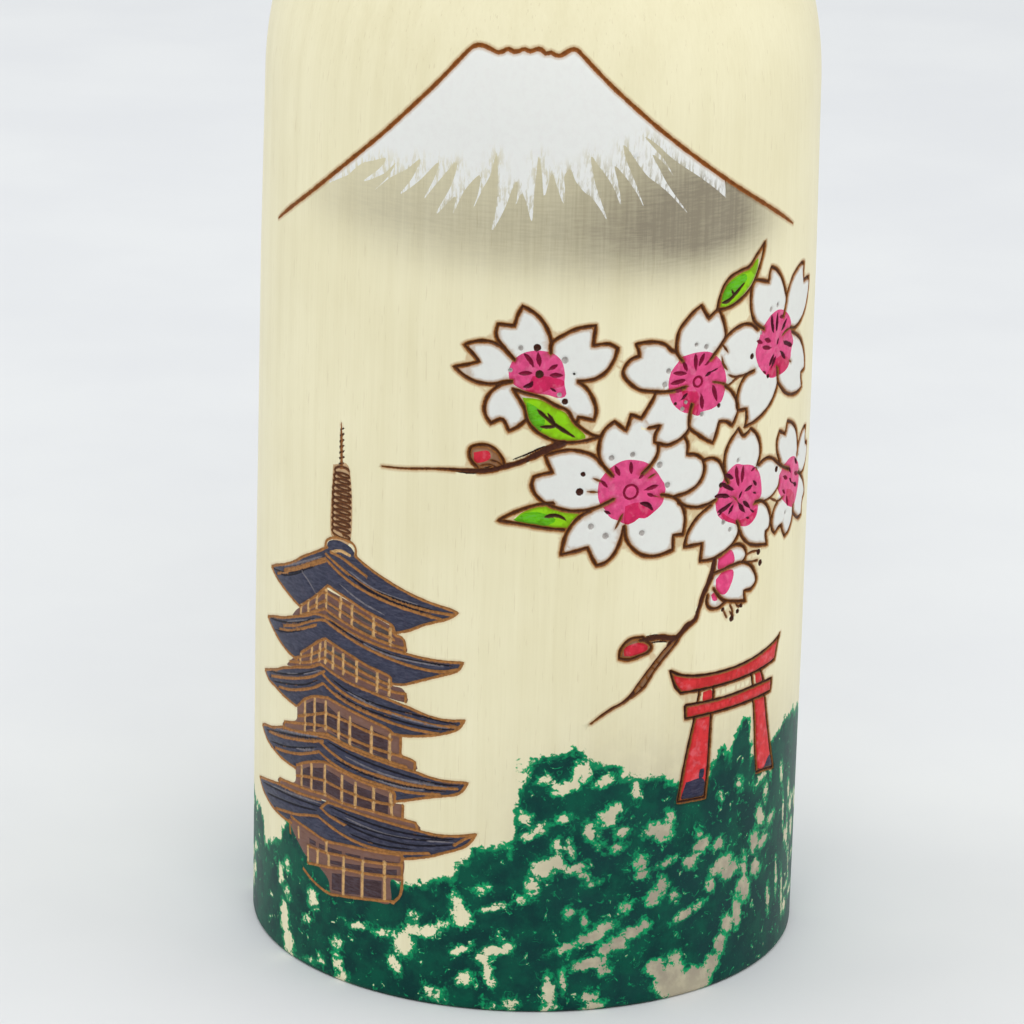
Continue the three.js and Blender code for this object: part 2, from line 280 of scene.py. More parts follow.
# The pagoda: roofs first, then the walls and galleries between them, then the mast.
NAVY_FILLS = [
    "113,659 130,653 150,646 170,637 190,625 210,615 230,604 236,598 246,596 258,597 271,604 290,613 310,621 335,630 360,637 385,642 394,645 385,652 370,658 355,664 340,672 323,678 318,669 290,662 260,653 232,646 215,662 200,672 183,682 170,679 150,673 130,667",
    "104,720 125,713 150,706 175,697 195,690 212,683 228,681 260,689 300,695 335,698 360,700 385,700 401,700 396,708 388,712 370,719 350,727 335,733 319,735 318,727 290,721 260,713 230,706 220,710 205,722 190,733 180,744 160,741 140,735 120,727",
    "95,783 115,777 135,770 150,763 165,758 185,751 205,745 222,738 231,739 260,745 300,750 335,756 360,762 380,765 404,763 398,772 388,778 372,783 355,787 335,790 322,790 318,786 290,780 260,775 235,771 228,772 212,776 195,785 180,797 150,794 130,791 110,790",
    "86,850 100,846 125,840 152,830 180,826 210,820 236,816 270,820 310,824 350,828 365,831 385,833 409,832 402,843 392,848 370,853 350,859 327,866 324,855 290,853 262,849 232,845 220,848 200,855 180,866 150,867 125,864 105,860",
    "75,915 100,909 125,903 143,899 180,895 225,890 265,889 300,890 350,893 375,895 400,893 419,889 412,900 402,907 385,914 365,922 340,928 336,926 300,928 262,931 235,933 205,930 180,927 165,933 150,934 125,932 95,925",
]
WALL_FILLS = [
    ("228,650 260,655 290,663 318,671 323,679 333,682 337,689 336,697 300,694 260,688 228,681 212,684 195,691 170,699 176,690 187,682 200,673 215,663", 0),
    ("186,735 205,723 220,711 230,708 260,714 290,722 318,728 320,736 333,737 338,743 338,752 300,749 260,744 231,738 222,737 205,744 185,750 160,757 167,749", 0),
    ("182,797 195,786 212,777 228,773 235,772 260,776 290,781 318,787 322,791 333,792 333,812 349,817 350,826 310,823 270,819 236,815 210,819 180,825 153,831 155,822 180,813", 1),
    ("180,866 200,856 220,849 232,846 262,850 290,854 324,856 327,867 337,868 337,884 352,885 355,893 300,889 262,888 225,889 180,894 143,898 145,891 178,885", 1),
    ("168,934 172,928 205,931 235,934 262,932 300,929 337,926 337,954 324,956 324,982 300,985 262,991 244,992 240,978 226,968 206,964 186,950", 1),
]
ROOF_LINES = [
    # outer edges
    "113,660! 130,653 150,646 170,637 190,625 210,615 230,604", "271,604 290,613 310,621 335,630 360,637 385,642 394,645! 385,652 370,658 355,664 340,672 323,678",
    "113,660! 130,667 150,673 170,679 184,683", "232,646! 215,661 200,672 184,683", "232,646! 260,653 290,662 318,669 323,678",
    "104,720! 125,713 150,706 175,697 195,690 212,683 228,681! 260,688 300,695 335,698 360,700 385,700 401,699! 396,708 388,712 370,719 350,727 335,733 319,735",
    "104,720! 120,727 140,735 160,741 180,744", "230,706! 220,711 205,722 188,734", "230,706! 260,713 290,721 318,727 319,735",
    "95,784! 115,777 135,770 150,763 165,758 185,751 205,745 222,737 230,738! 260,745 300,750 335,756 345,758 360,762 380,765 404,763! 398,772 388,778 372,783 355,787 335,790 322,790",
    "95,784! 110,790 130,791 150,794 180,797", "235,771! 225,773 212,776 195,785 184,795", "235,771! 260,775 290,780 318,786 322,791",
    "86,851! 100,846 125,840 152,830! 180,826 210,820 236,816! 270,820 310,824 350,828 365,831 385,833 409,832! 402,843 392,848 370,853 350,859 327,866",
    "86,851! 105,860 125,864 150,867 180,868", "232,845! 220,848 200,855 182,864", "232,845! 262,849 290,853 324,855 327,866",
    "75,916! 100,909 125,903 143,899! 180,895 225,890", "236,889! 265,889 300,890 350,893 375,895 400,893 419,889! 412,900 402,907 385,914 365,922 338,929",
    "75,916! 95,925 125,932 150,934 172,934",
    # ridges and the bands that follow the eaves
    "150,652 180,640 205,628 228,617!", "228,612 245,619 270,629 300,638 340,645 388,648", "229,618! 250,628 275,637 310,645 350,651 375,654",
    "132,662 165,649 195,635 228,620!", "236,608 255,611 285,622",
    "150,715 180,705 205,693 222,687 229,686!", "229,686! 250,692 280,700 310,706 345,711 375,712 396,707", "140,722 165,716 190,706 214,695",
    "229,743! 210,754 190,762 165,770 140,777 118,783", "227,747! 245,755 265,761 290,765 330,768 370,772 397,771", "227,757! 212,766 190,775 165,783 140,788", "228,757! 245,764 268,770 300,775 340,780 375,781",
    "228,822! 205,829 180,835 150,842 112,849", "225,825! 245,832 270,838 310,841 350,843 398,840", "222,836! 205,843 185,850 160,856 132,861", "222,836! 240,842 265,847 300,850 340,852 378,849",
    "236,890! 226,899! 240,904 262,908", "222,910! 205,914 185,920 165,924 135,930", "222,910! 240,915 260,920 290,924 330,923 368,917", "396,904 405,897 419,889",
]
INK_LINES = [
    "275,633 300,641 330,646 365,650", "250,622 280,633 312,642 350,648", "300,636 330,641 370,646", "120,660 150,655 178,645 210,631", "133,661 160,655 190,642",
    "235,684 265,692 300,700 340,704 390,704", "110,719 150,711 185,700 212,688", "128,727 160,719 190,708",
    "240,748 270,757 310,762 350,764 395,768", "245,760 275,768 320,773 365,776 393,774", "115,779 150,770 185,759 215,746", "125,787 160,778 195,768 218,756",
    "235,820 270,826 320,832 370,837 400,836", "245,837 280,842 330,846 385,845", "105,850 150,838 190,829 220,822", "120,858 160,850 195,840 218,832",
    "240,893 280,896 330,899 395,898", "262,906 300,911 350,911 398,903", "245,902 290,905 340,905 390,900", "95,915 140,907 185,902 225,898", "110,922 150,915 190,909 220,904", "270,916 310,919 350,916",
]
RAIL_LINES = [
    # first gallery
    "215,664 228,655 262,661 290,669 318,677", "200,681 228,664! 260,671 290,679 322,685", "186,692 212,680 228,673! 260,681 300,689 336,693", "318,669 323,679 333,682 336,689 336,697",
    # second gallery
    "175,744 205,731 228,718! 260,724 290,731 320,737", "165,751 200,741 228,728! 260,734 300,740 320,743 338,743! 338,752!",
    # third wall
    "184,807 205,799 232,789! 262,790 290,794 322,797", "155,823! 185,815 212,808 232,804! 262,807 300,811 340,814 350,817! 350,826!", "153,832! 155,823!", "165,829 195,822 235,812! 262,816 300,820 340,824", "333,791 333,813",
    # fourth wall
    "182,876 205,870 232,866! 262,869 300,871 326,870", "145,892! 175,888 205,885 232,882! 262,884 300,883 330,884 352,885! 355,893!", "143,900! 145,892!", "337,868 337,884",
    # base
    "172,927 205,930 235,934 262,931 300,928 337,925! 337,966 327,982", "205,949 235,948! 262,944 300,941 336,936", "205,969 240,963 262,959 300,955 336,950", "197,978 215,987 240,993 262,990 300,984 327,980", "168,932 171,947",
]
POST_LINES = [
    "187,680 186,692", "200,672 200,684", "215,661 214,676", "230,650 230,672", "252,655 251,677", "268,660 268,681", "297,668 297,688", "318,674 318,692",
    "188,734 186,746", "208,722 206,739", "222,714 220,733", "230,710 230,733", "242,713 242,736", "257,716 257,738", "276,720 276,742", "303,727 303,746", "318,731 318,748",
    "197,786 197,820", "214,778 214,815", "232,776 232,808", "252,783 252,812", "268,785 268,815", "297,788 297,818", "320,792 320,821",
    "192,862 192,884", "210,854 210,884", "232,849 232,882", "258,853 258,884", "277,856 277,884", "301,857 301,883", "322,859 324,883",
    "187,934 188,946", "236,934 236,948", "222,948 222,963", "205,950 206,968", "262,945 262,989", "288,942 288,984", "316,937 317,980", "240,950 240,962",
]
GALLERY_DARKS = [
    "232,663 249,666 249,671 232,668", "254,667 266,669 266,675 254,672", "272,664 295,670 295,675 272,669", "272,675 295,680 295,686 272,681", "301,674 316,677 316,682 301,679", "301,685 316,688 316,692 301,690", "233,674 249,678 249,681 233,678", "218,668 226,663 226,668 218,673",
    "233,712 240,713 240,718 233,717", "245,715 255,717 255,722 245,720", "260,718 274,721 274,726 260,723", "279,723 300,727 300,732 279,728", "260,728 274,730 274,734 260,732", "279,733 300,737 300,741 279,737", "306,731 316,733 316,738 306,736", "233,722 240,723 240,727 233,726", "210,728 219,722 219,727 210,733",
    "236,809 250,810 250,815 236,813", "255,811 266,812 266,817 255,816", "272,813 294,816 294,820 272,818", "300,817 318,819 318,822 300,821",
]
WINDOWS = [  # posts' places, the walls' tops and feet there
    ((197, 214, 232, 252, 268, 297, 320), (784, 777, 775, 781, 784, 787, 791), (820, 815, 807, 811, 814, 818, 822)),
    ((192, 210, 232, 258, 277, 301, 322), (860, 853, 848, 852, 855, 856, 858), (884, 883, 880, 883, 883, 883, 884)),
    ((240, 262, 288, 316, 334), (950, 947, 944, 941, 938), (960, 958, 956, 953, 951)),
    ((243, 262, 288, 316), (964, 961, 958, 955), (989, 988, 984, 981)),
    ((206, 222, 236, 262, 288, 316, 336), (935, 936, 936, 935, 933, 931, 930), (947, 947, 947, 945, 942, 940, 937)),
]
GLINT_LINES = ["150,648 185,633 222,616", "262,622 300,635 350,642", "150,711 190,697 222,686", "262,690 310,703 380,706", "140,773 190,757 224,743", "262,756 320,768 385,774", "135,838 180,828 222,819", "262,830 320,838 390,840", "125,908 180,899 226,894", "262,899 320,905 395,901", "180,640 200,650 214,662", "250,640 280,652 310,660", "300,846 340,848 372,845", "170,847 195,842 215,836"]
MAST = (250, 513, 588)  # x, top and bottom of the coils

MOUNTAIN = "117,274 200,221.5 285,155.5 345,99 380,61 390,50.5 397,46.5 404,46.5 412,49 420,52 426,50.5 431,48 437,50.5 443,49.5 448,47.5 454,49.5 462,47 467,48 471,51.5 476,50 481,52.5 486,53 492,50 498,47 504,47.5 511,54 550,92 610,142.5 690,198 800,260"
SNOW_HEM = "222,212 238,204 250,198 258,191 270,182 284,177 300,172 292,184 271,201 297,189 312,175 302,192 286,208 305,192 325,180 341,167 332,188 318,207 340,190 361,168 357,185 346,208 360,190 381,166 376,190 360,222 381,201 378,221 390,195 406,177 405,195 400,212 410,190 417,176 423,155 425,185 424,210 420,234 432,212 443,182 446,190 444,206 450,193 456,207 461,222 463,195 466,155 470,172 473,196 480,172 486,186 493,203 494,188 493,175 499,167 505,180 514,191 522,197 531,209 539,221 530,196 524,178 520,154 528,164 536,174 545,188 553,206 550,185 545,165 553,172 562,183 571,196 578,209 570,188 563,172 557,158 554,143 562,152 572,166 582,178 594,187 608,199 629,220 612,198 602,184 594,170 586,155 600,166 611,180 600,162 588,149 577,136 592,146 604,157 620,169 640,182 660,196 678,210"

# ------------------------------------------------------------------ curves on the sheet
SHEET_X, SHEET_Y = 470, 1090
HALF = PI * BASE_R  # half the girth
rng = np.random.default_rng(11)


def read(text):
    """A path's points in mm on the sheet, and which of them are corners."""
    points, corners = [], []
    for word in text.split():
        corners.append(word.endswith("!"))
        x, y = word.rstrip("!").split(",")
        points.append(((float(x) - SHEET_X) / 10, (SHEET_Y - float(y)) / 10))
    corners[0] = corners[-1] = True
    return np.array(points), corners


def curve(run, step):
    """A smooth curve through the points, every step or so. Columns past the second are carried along."""
    if len(run) > 2:
        ends = np.vstack([2 * run[0] - run[1], run, 2 * run[-1] - run[-2]])
        t = np.linspace(0, 1, 12, endpoint=False)[:, None]
        dense = []
        for a, b, c, d in zip(ends, ends[1:], ends[2:], ends[3:]):
            dense.append(0.5 * (2 * b + (c - a) * t + (2 * a - 5 * b + 4 * c - d) * t**2 + (3 * b - a - 3 * c + d) * t**3))
        run = np.vstack(dense + [run[-1:]])
    along = np.concatenate([[0], np.cumsum(np.hypot(*np.diff(run[:, :2], axis=0).T))])
    at = np.linspace(0, along[-1], max(1, round(along[-1] / step)) + 1)
    return np.stack([np.interp(at, along, run[:, i]) for i in range(run.shape[1])], axis=1)


def smooth(points, corners, step):
    ends = [i for i, corner in enumerate(corners) if corner]
    out = [points[:1]]
    for a, b in zip(ends, ends[1:]):
        out.append(curve(points[a : b + 1], step)[1:])
    return np.vstack(out)


class Sheet:
    """What is drawn on a skin: grooves, filled shapes and punched pits, in mm."""

    def __init__(self):
        self.grooves, self.fills, self.pits = [], [], []

    def groove(self, line, style, taper=(0, 0), widths=None):
        width, depth, colour, halo = STYLES[style] if isinstance(style, str) else style
        along = np.concatenate([[0], np.cumsum(np.hypot(*np.diff(line, axis=0).T))])
        r = np.full(len(line), width / 2) if widths is None else widths / 2
        # A hand-led tool: the width breathes a little along the line.
        phase = rng.uniform(0, 6.3, 2)
        r = r * (1 + 0.06 * np.sin(along * 1.9 + phase[0]) + 0.06 * np.sin(along * 4.3 + phase[1]))
        for end, reach in ((along, taper[0]), (along[-1] - along, taper[1])):
            if reach:
                r = r * (0.35 + 0.65 * np.clip(end / reach, 0, 1) ** 0.6)
        self.grooves.append((line, r, depth * np.minimum(1, r / (width / 2) if widths is None else r / 0.18), colour, halo))

    def draw(self, text, style, step=0.28, taper=(0, 0)):
        line = smooth(*read(text), step)
        self.groove(line, style, taper)
        return line

    def fill(self, outline, colour, cover=1.0, edged=True):
        """colour is the paint's; cover is how well it hides the wood. A shape whose own edge lies under others isn't edged."""
        if isinstance(outline, str):
            outline = smooth(*read(outline + " " + outline.split()[0]), 0.34)
        if np.hypot(*(outline[0] - outline[-1])) < 1e-6:
            outline = outline[:-1]
        self.fills.append((outline, (*colour, cover), edged))

    def pit(self, x, y, r, kind):
        self.pits.append(((x - SHEET_X) / 10, (SHEET_Y - y) / 10, r * (1.2 if kind == 1 else 1.0) / 10, kind))


def inside(points, polygon):
    """Which points lie inside the polygon."""
    hit = np.zeros(len(points), bool)
    lo, hi = polygon.min(0), polygon.max(0)
    near = np.flatnonzero(np.all((points >= lo) & (points <= hi), axis=1))
    if len(near):
        p = points[near]
        odd = np.zeros(len(p), bool)
        for (x0, y0), (x1, y1) in zip(polygon, np.roll(polygon, -1, axis=0)):
            if y0 != y1:
                cross = (p[:, 1] < y0) != (p[:, 1] < y1)
                odd ^= cross & (p[:, 0] < x0 + (p[:, 1] - y0) * (x1 - x0) / (y1 - y0))
        hit[near] = odd
    return hit


def cut(points, grooves, pits, reach=0.8):
    """For each point: signed distance to the nearest groove's edge, that groove's colour and scorch, and how deep the surface lies there."""
    edge = np.full(len(points), reach)
    tint = np.zeros((len(points), 4))
    deep = np.zeros(len(points))
    order = np.argsort(points[:, 0])
    xs = points[order, 0]

    def close(lo, hi):
        some = order[np.searchsorted(xs, lo[0]) : np.searchsorted(xs, hi[0], "right")]
        return some[(points[some, 1] >= lo[1]) & (points[some, 1] <= hi[1])]

    for line, radii, depth, colour, halo in grooves:
        for i in range(0, len(line) - 1, 20):
            p, r, dp = line[i : i + 21], radii[i : i + 21], depth[i : i + 21]
            far = r.max() + reach
            some = close(p.min(0) - far, p.max(0) + far)
            if not len(some):
                continue
            a, d = p[:-1], np.diff(p, axis=0)
            v = points[some][:, None] - a[None]
            t = np.clip((v * d).sum(2) / np.maximum((d * d).sum(1), 1e-9), 0, 1)
            dist = np.hypot(*np.moveaxis(v - t[..., None] * d, 2, 0))
            radius = r[:-1] + t * np.diff(r)
            off = dist - radius
            best = off.argmin(1)
            rows = np.arange(len(some))
            off, dist, radius = off[rows, best], dist[rows, best], radius[rows, best]
            nearer = off < edge[some]
            edge[some[nearer]] = off[nearer]
            tint[some[nearer]] = (*colour, halo)
            low = np.where(dist < radius, (dp[:-1] + t * np.diff(dp))[rows, best] * 0.5 * (1 + np.cos(PI * np.minimum(dist / radius, 1))), 0)
            deep[some] = np.maximum(deep[some], low)
    for x, y, r, kind in pits:
        c = np.array((x, y))
        some = close(c - r - reach, c + r + reach)
        dist = np.hypot(*(points[some] - c).T)
        # A white pit (kind 1) gets a pale grey dot: painted shade in its hollow.
        dot = {0: (r, (*srgb(70, 34, 22), 0.0)), 1: (r * 0.72, (*srgb(188, 182, 176), 0.0)), 2: (r * 0.45, (*srgb(40, 30, 34), 0.0))}[kind]
        off = dist - dot[0]
        nearer = off < edge[some]
        edge[some[nearer]] = off[nearer]
        tint[some[nearer]] = dot[1]
        deep[some] = np.maximum(deep[some], np.where(dist < r, min(0.32, r) * 0.5 * (1 + np.cos(PI * np.minimum(dist / r, 1))), 0))
    return edge, tint, deep


def lay(sheet, lo, hi, columns, rows, grids, extra=None):
    """Triangulates the sheet from lo to hi, with its grooves and shapes as edges. grids are (lo, hi, spacing), finest
    first. Returns (points, triangles).
    """
    fixed, edges = [], []
    count = 0

    def add(line, closed=False):
        nonlocal count
        n = len(line)
        fixed.append(line)
        edges.extend((count + i, count + i + 1) for i in range(n - 1))
        if closed:
            edges.append((count + n - 1, count))
        count += n

    xs, ys = np.linspace(lo[0], hi[0], columns + 1), np.linspace(lo[1], hi[1], rows + 1)
    add(np.vstack([np.stack([xs[:-1], np.full(columns, lo[1])], 1), np.stack([np.full(rows, hi[0]), ys[:-1]], 1), np.stack([xs[:0:-1], np.full(columns, hi[1])], 1), np.stack([np.full(rows, lo[0]), ys[:0:-1]], 1)]), True)
    for line, *_ in sheet.grooves:
        add(line)
    for outline, _, edged in sheet.fills:
        if edged:
            add(outline, True)
    fixed = np.vstack(fixed)
    # Shapes often share their edges with grooves: the same point is one vertex.
    keys = np.round(fixed / 0.002).astype(np.int64)
    _, first, back = np.unique(keys, axis=0, return_index=True, return_inverse=True)
    back = back.reshape(-1)
    fixed = fixed[first]
    edges = [(back[a], back[b]) for a, b in edges]
    edges = list({(min(a, b), max(a, b)) for a, b in edges if a != b})

    loose = []
    for line, r, *_ in sheet.grooves:
        d = np.gradient(line, axis=0)
        n = np.stack([-d[:, 1], d[:, 0]], 1) / np.maximum(np.hypot(*d.T), 1e-9)[:, None]
        for side in (-1, 1):
            for off in (r, r + 0.13):
                loose.append(line + side * n * off[:, None])
            if r.max() > 0.17:
                loose.append(line + side * n * r[:, None] * 0.5)
    for x, y, r, _ in sheet.pits:
        loose.append(np.array([(x, y)]))
        for share, number in ((0.5, 7), (1.0, 11)):
            a = np.arange(number) * 2 * PI / number + share
            loose.append(np.array((x, y)) + r * share * np.stack([np.cos(a), np.sin(a)], 1))
        a = np.arange(12) * 2 * PI / 12
        loose.append(np.array((x, y)) + (r + 0.12) * np.stack([np.cos(a), np.sin(a)], 1))
    fine = []
    for i, (g0, g1, gap) in enumerate(grids):
        gx, gy = np.meshgrid(np.arange(g0[0], g1[0], gap), np.arange(g0[1], g1[1], gap * 0.866))
        gx[1::2] += gap / 2
        g = np.stack([gx.ravel(), gy.ravel()], 1)
        for h0, h1, _ in grids[:i]:
            g = g[~np.all((g > np.array(h0) - gap * 0.4) & (g < np.array(h1) + gap * 0.4), axis=1)]
        fine.append(g)
    if extra is not None:
        fine.append(extra)
    fine = np.vstack(fine)
    off, _, _ = cut(fine, sheet.grooves, sheet.pits, 0.6)
    fine = fine[off > 0.24]
    loose = np.vstack(loose + [fine]) if loose else fine
    margin = 0.12
    loose = loose[np.all((loose > np.array(lo) + margin) & (loose < np.array(hi) - margin), axis=1)]
    taken = {tuple(k) for k in np.round(fixed / 0.09).astype(int)}
    keys = np.round(loose / 0.09).astype(int)
    _, first = np.unique(keys, axis=0, return_index=True)
    first = np.sort(first)
    free = [i for i in first if tuple(keys[i]) not in taken]
    everything = np.vstack([fixed, loose[free]])
    found = delaunay_2d_cdt([Vector(p) for p in everything.tolist()], [(int(a), int(b)) for a, b in edges], [], 0, 1e-5, False)
    p = np.array([tuple(v) for v in found[0]])
    # The triangulation works in single precision, so the border goes back to its exact places.
    for side in (lo[0], hi[0]):
        on = np.abs(p[:, 0] - side) < 1e-4
        p[on] = np.stack([np.full(on.sum(), side), ys[np.abs(p[on, 1][:, None] - ys).argmin(1)]], 1)
    for side in (lo[1], hi[1]):
        on = np.abs(p[:, 1] - side) < 1e-4
        p[on] = np.stack([xs[np.abs(p[on, 0][:, None] - xs).argmin(1)], np.full(on.sum(), side)], 1)
    tri = np.array([f for f in found[2] if len(f) == 3])
    a, b, c = p[tri[:, 0]], p[tri[:, 1]], p[tri[:, 2]]
    area = (b[:, 0] - a[:, 0]) * (c[:, 1] - a[:, 1]) - (b[:, 1] - a[:, 1]) * (c[:, 0] - a[:, 0])
    tri[area < 0] = tri[area < 0][:, ::-1]
    return p, tri[np.abs(area) > 1e-9]


def shapes_at(sheet, p, tri):
    """The paint on each triangle, and which points lie well inside a shape."""
    middle = p[tri].mean(1)
    paint = np.zeros((len(tri), 4))
    raised = np.zeros(len(p))
    places = np.round(p / 0.002).astype(np.int64) @ np.array([1 << 24, 1])
    for outline, colour, _ in sheet.fills:
        paint[inside(middle, outline)] = colour
        if colour[3] > 0.5:
            within = inside(p, outline)
            within[np.isin(places, np.round(outline / 0.002).astype(np.int64) @ np.array([1 << 24, 1]))] = False
            raised[within] = 1
    return paint, raised


def revolve(profile, columns, start_angle=-PI):
    """Rows of points round +Z for a profile of (r, z), each row columns long. The first column is at the back."""
    profile = np.array(profile)
    a = start_angle + np.arange(columns) * 2 * PI / columns
    r, z = profile[:, 0][:, None], profile[:, 1][:, None]
    return np.stack([r * np.sin(a), -r * np.cos(a), z + 0 * a], 2).reshape(-1, 3)


def rows_to_faces(rows, columns, offset=0):
    """Quads between rows from revolve, facing out where the profile runs up."""
    i = np.arange(columns)
    j = (i + 1) % columns
    out = [np.stack([offset + k * columns + i, offset + k * columns + j, offset + (k + 1) * columns + j, offset + (k + 1) * columns + i], 1) for k in range(rows - 1)]
    return np.vstack(out)


def weld(points, faces, gap=2e-4):
    """One set of points for faces that share places, with what is left over dropped."""
    keys = np.round(points / gap).astype(np.int64)
    _, first, back = np.unique(keys, axis=0, return_index=True, return_inverse=True)
    back = back.reshape(-1)
    return first, [back[f] for f in faces]


def make_mesh(name, points, groups, attributes=(), smooth_angle=None):
    """A Blender object from points in mm and arrays of faces."""
    mesh = bpy.data.meshes.new(name)
    kept = [np.all(g != np.roll(g, 1, axis=1), axis=1) for g in groups]
    groups = [g[k] for g, k in zip(groups, kept)]
    held = np.zeros(len(points), bool)
    for g in groups:
        held[g] = True
    place = np.cumsum(held) - 1
    points, groups = points[held], [place[g] for g in groups]
    corners = np.concatenate([g.reshape(-1) for g in groups])
    starts, at = [], 0
    for g in groups:
        starts.append(at + np.arange(len(g)) * g.shape[1])
        at += g.size
    starts = np.concatenate(starts)
    mesh.vertices.add(len(points))
    mesh.vertices.foreach_set("co", (points * MM).astype(np.float32).reshape(-1))
    mesh.loops.add(len(corners))
    mesh.loops.foreach_set("vertex_index", corners.astype(np.int32))
    mesh.polygons.add(len(starts))
    mesh.polygons.foreach_set("loop_start", starts.astype(np.int32))
    mesh.update(calc_edges=True)
    mesh.polygons.foreach_set("use_smooth", np.ones(len(starts), bool))
    for label, kind, domain, data in attributes:
        if domain == "FACE":
            data = data[np.concatenate(kept)]
        else:
            data = data[held]
        layer = mesh.attributes.new(label, kind, domain)
        layer.data.foreach_set({"FLOAT": "value", "FLOAT_COLOR": "color", "FLOAT_VECTOR": "vector"}[kind], np.ascontiguousarray(data, np.float32).reshape(-1))
    if mesh.validate(verbose=False):
        print("mesh", name, "needed repair")
    if smooth_angle:
        mesh.set_sharp_from_angle(angle=smooth_angle)
    mesh.update()
    ob = bpy.data.objects.new(name, mesh)
    bpy.context.scene.collection.objects.link(ob)
    return ob


# ------------------------------------------------------------------ the drawing on the body
WHITE = srgb(225, 226, 220)
NAVY = srgb(58, 60, 78)
RED = srgb(214, 52, 56)
land = Sheet()

peak = smooth(*read(MOUNTAIN), 0.3)
hem = smooth(*read(SNOW_HEM), 0.34)
cap_top = peak[(peak[:, 0] > (222 - 470) / 10) & (peak[:, 0] < (678 - 470) / 10)]
land.fill(np.vstack([cap_top, hem[::-1]]), srgb(230, 231, 227), 0.97)
land.groove(peak, "mountain", (3.0, 3.0))

for b in BLOSSOMS:
    middle = np.array([[(b["middle"][0] - SHEET_X) / 10, (SHEET_Y - b["middle"][1]) / 10]])
    for text in b["petals"]:
        line = land.draw(text, "outline")
        land.fill(np.vstack([line, middle]), WHITE, edged=False)
    for text in b.get("whites", ()):
        land.fill(text, WHITE)
for text in SIDE_BLOSSOM["whites"]:
    land.fill(text, WHITE)
for b in BLOSSOMS:
    land.fill(b["disc"], srgb(222, 78, 132))
    land.fill(b["deep"], srgb(206, 40, 92))
    for text in b["rose"]:
        land.draw(text, "rose", 0.24, (0.6, 0.6))
    for text in b["wine"]:
        land.draw(text, "wine", 0.24, (0.6, 0.6))
    for text in b.get("thin", ()):
        land.draw(text, "thin", 0.26, (0.5, 0.5))
    if "ring" in b:
        x, y, r = b["ring"]
        a = np.linspace(0, 2 * PI, 17)
        land.groove(np.stack([(x + r * np.cos(a) - SHEET_X) / 10, (SHEET_Y - y + r * np.sin(a)) / 10], 1), (0.30, 0.16, srgb(150, 14, 60), 0))
    if "eye" in b:
        land.pits.append(((b["eye"][0] - SHEET_X) / 10, (SHEET_Y - b["eye"][1]) / 10, b["eye"][2] / 10, 0))
    for pit in b["pits"]:
        land.pit(*pit)
for text in SIDE_BLOSSOM["pinks"]:
    land.fill(text, srgb(226, 70, 126))
for text in SIDE_BLOSSOM["outlines"]:
    land.draw(text, "outline")
for text in SIDE_BLOSSOM["stamens"]:
    land.draw(text, "thin", 0.26, (0.3, 0))
for x, y, r in SIDE_BLOSSOM["tips"]:
    land.pit(x, y, r * 0.8, 0)
for leaf in LEAVES:
    land.fill(leaf["fill"], srgb(140, 206, 14))
    land.fill(leaf["dark"], srgb(98, 186, 16))
    land.draw(leaf["outline"], "outline")
    for text in leaf["veins"]:
        land.draw(text, "vein", 0.26, (0.5, 1.0))

for twig in TWIGS:
    run = np.array([((x - SHEET_X) / 10, (SHEET_Y - y) / 10, w / 10) for x, y, w in twig], float)
    run = curve(run, 0.3)
    land.groove(run[:, :2], (0.5, 0.22, srgb(76, 40, 26), 0.8), widths=run[:, 2] * 0.94)
for text in TWIG_LINES:
    land.draw(text, (0.22, 0.16, srgb(46, 22, 16), 0), 0.3, (0.8, 0.8))
land.fill("575,740 583,730 592,718 603,705 613,693 622,686 634,683 626,690 615,700 604,713 594,728 583,738", srgb(126, 82, 52), 0.85)
for bud in BUDS:
    land.fill(bud["bark"], srgb(132, 84, 52), 0.85)
    land.fill(bud["red"], srgb(206, 44, 62))
    land.draw(bud["outline"], "outline")
    for text in bud["marks"]:
        land.draw(text, "thin", 0.26, (0.3, 0.3))

gate_lines = [land.draw(text, "gate") for text in GATE["outlines"]]
for line in (gate_lines[0], *gate_lines[5:]):
    land.fill(line, RED, edged=False)
for text in GATE["reds"][1:3]:
    land.fill(text, RED)
for text in GATE["navies"]:
    land.fill(text, srgb(46, 46, 68))

for text, tone in WALL_FILLS:
    land.fill(text, srgb(*((112, 82, 74), (122, 90, 78))[tone]), 1.0)
for across, tops, feet in WINDOWS:
    for k in range(len(across) - 1):
        x0, x1 = across[k] + 2.5, across[k + 1] - 2.5
        land.fill(f"{x0},{tops[k] + 4}! {x1},{tops[k + 1] + 4}! {x1},{feet[k + 1] - 2}! {x0},{feet[k] - 2}!", srgb(70, 52, 55))
for text in GALLERY_DARKS:
    land.fill(text, srgb(58, 46, 54), 0.95)
for text in NAVY_FILLS:
    land.fill(text, NAVY)
for text in GLINT_LINES:
    land.draw(text, "glint", 0.45, (2.0, 2.0))
for text in ROOF_LINES:
    land.draw(text, "tan", 0.32)
for text in RAIL_LINES:
    land.draw(text, "tan", 0.34)
for text in POST_LINES:
    land.draw(text, "tan_thin", 0.4)
for text in INK_LINES:
    land.draw(text, "ink", 0.45, (1.5, 1.5))
x, top, bottom = MAST
land.groove(smooth(*read("248,463 248.5,480 249,500 249,512"), 0.3), (0.40, 0.14, srgb(150, 96, 52), 0.3), (2.5, 0))
for k in range(7):
    y = 470 + k * 6.2
    land.draw(f"{247 - k * 0.25},{y + 1.2} {249},{y} {251 + k * 0.25},{y - 1.2}", (0.22, 0.1, srgb(70, 44, 34), 0), 0.25)
turns = np.linspace(0, 11.2 * 2 * PI, 400)
wide = 1.02 + 0.32 * np.clip((turns / turns[-1]) * 3, 0, 1)
land.fill("237,511 261,511 264,589 236,589", srgb(176, 126, 76), 0.7)
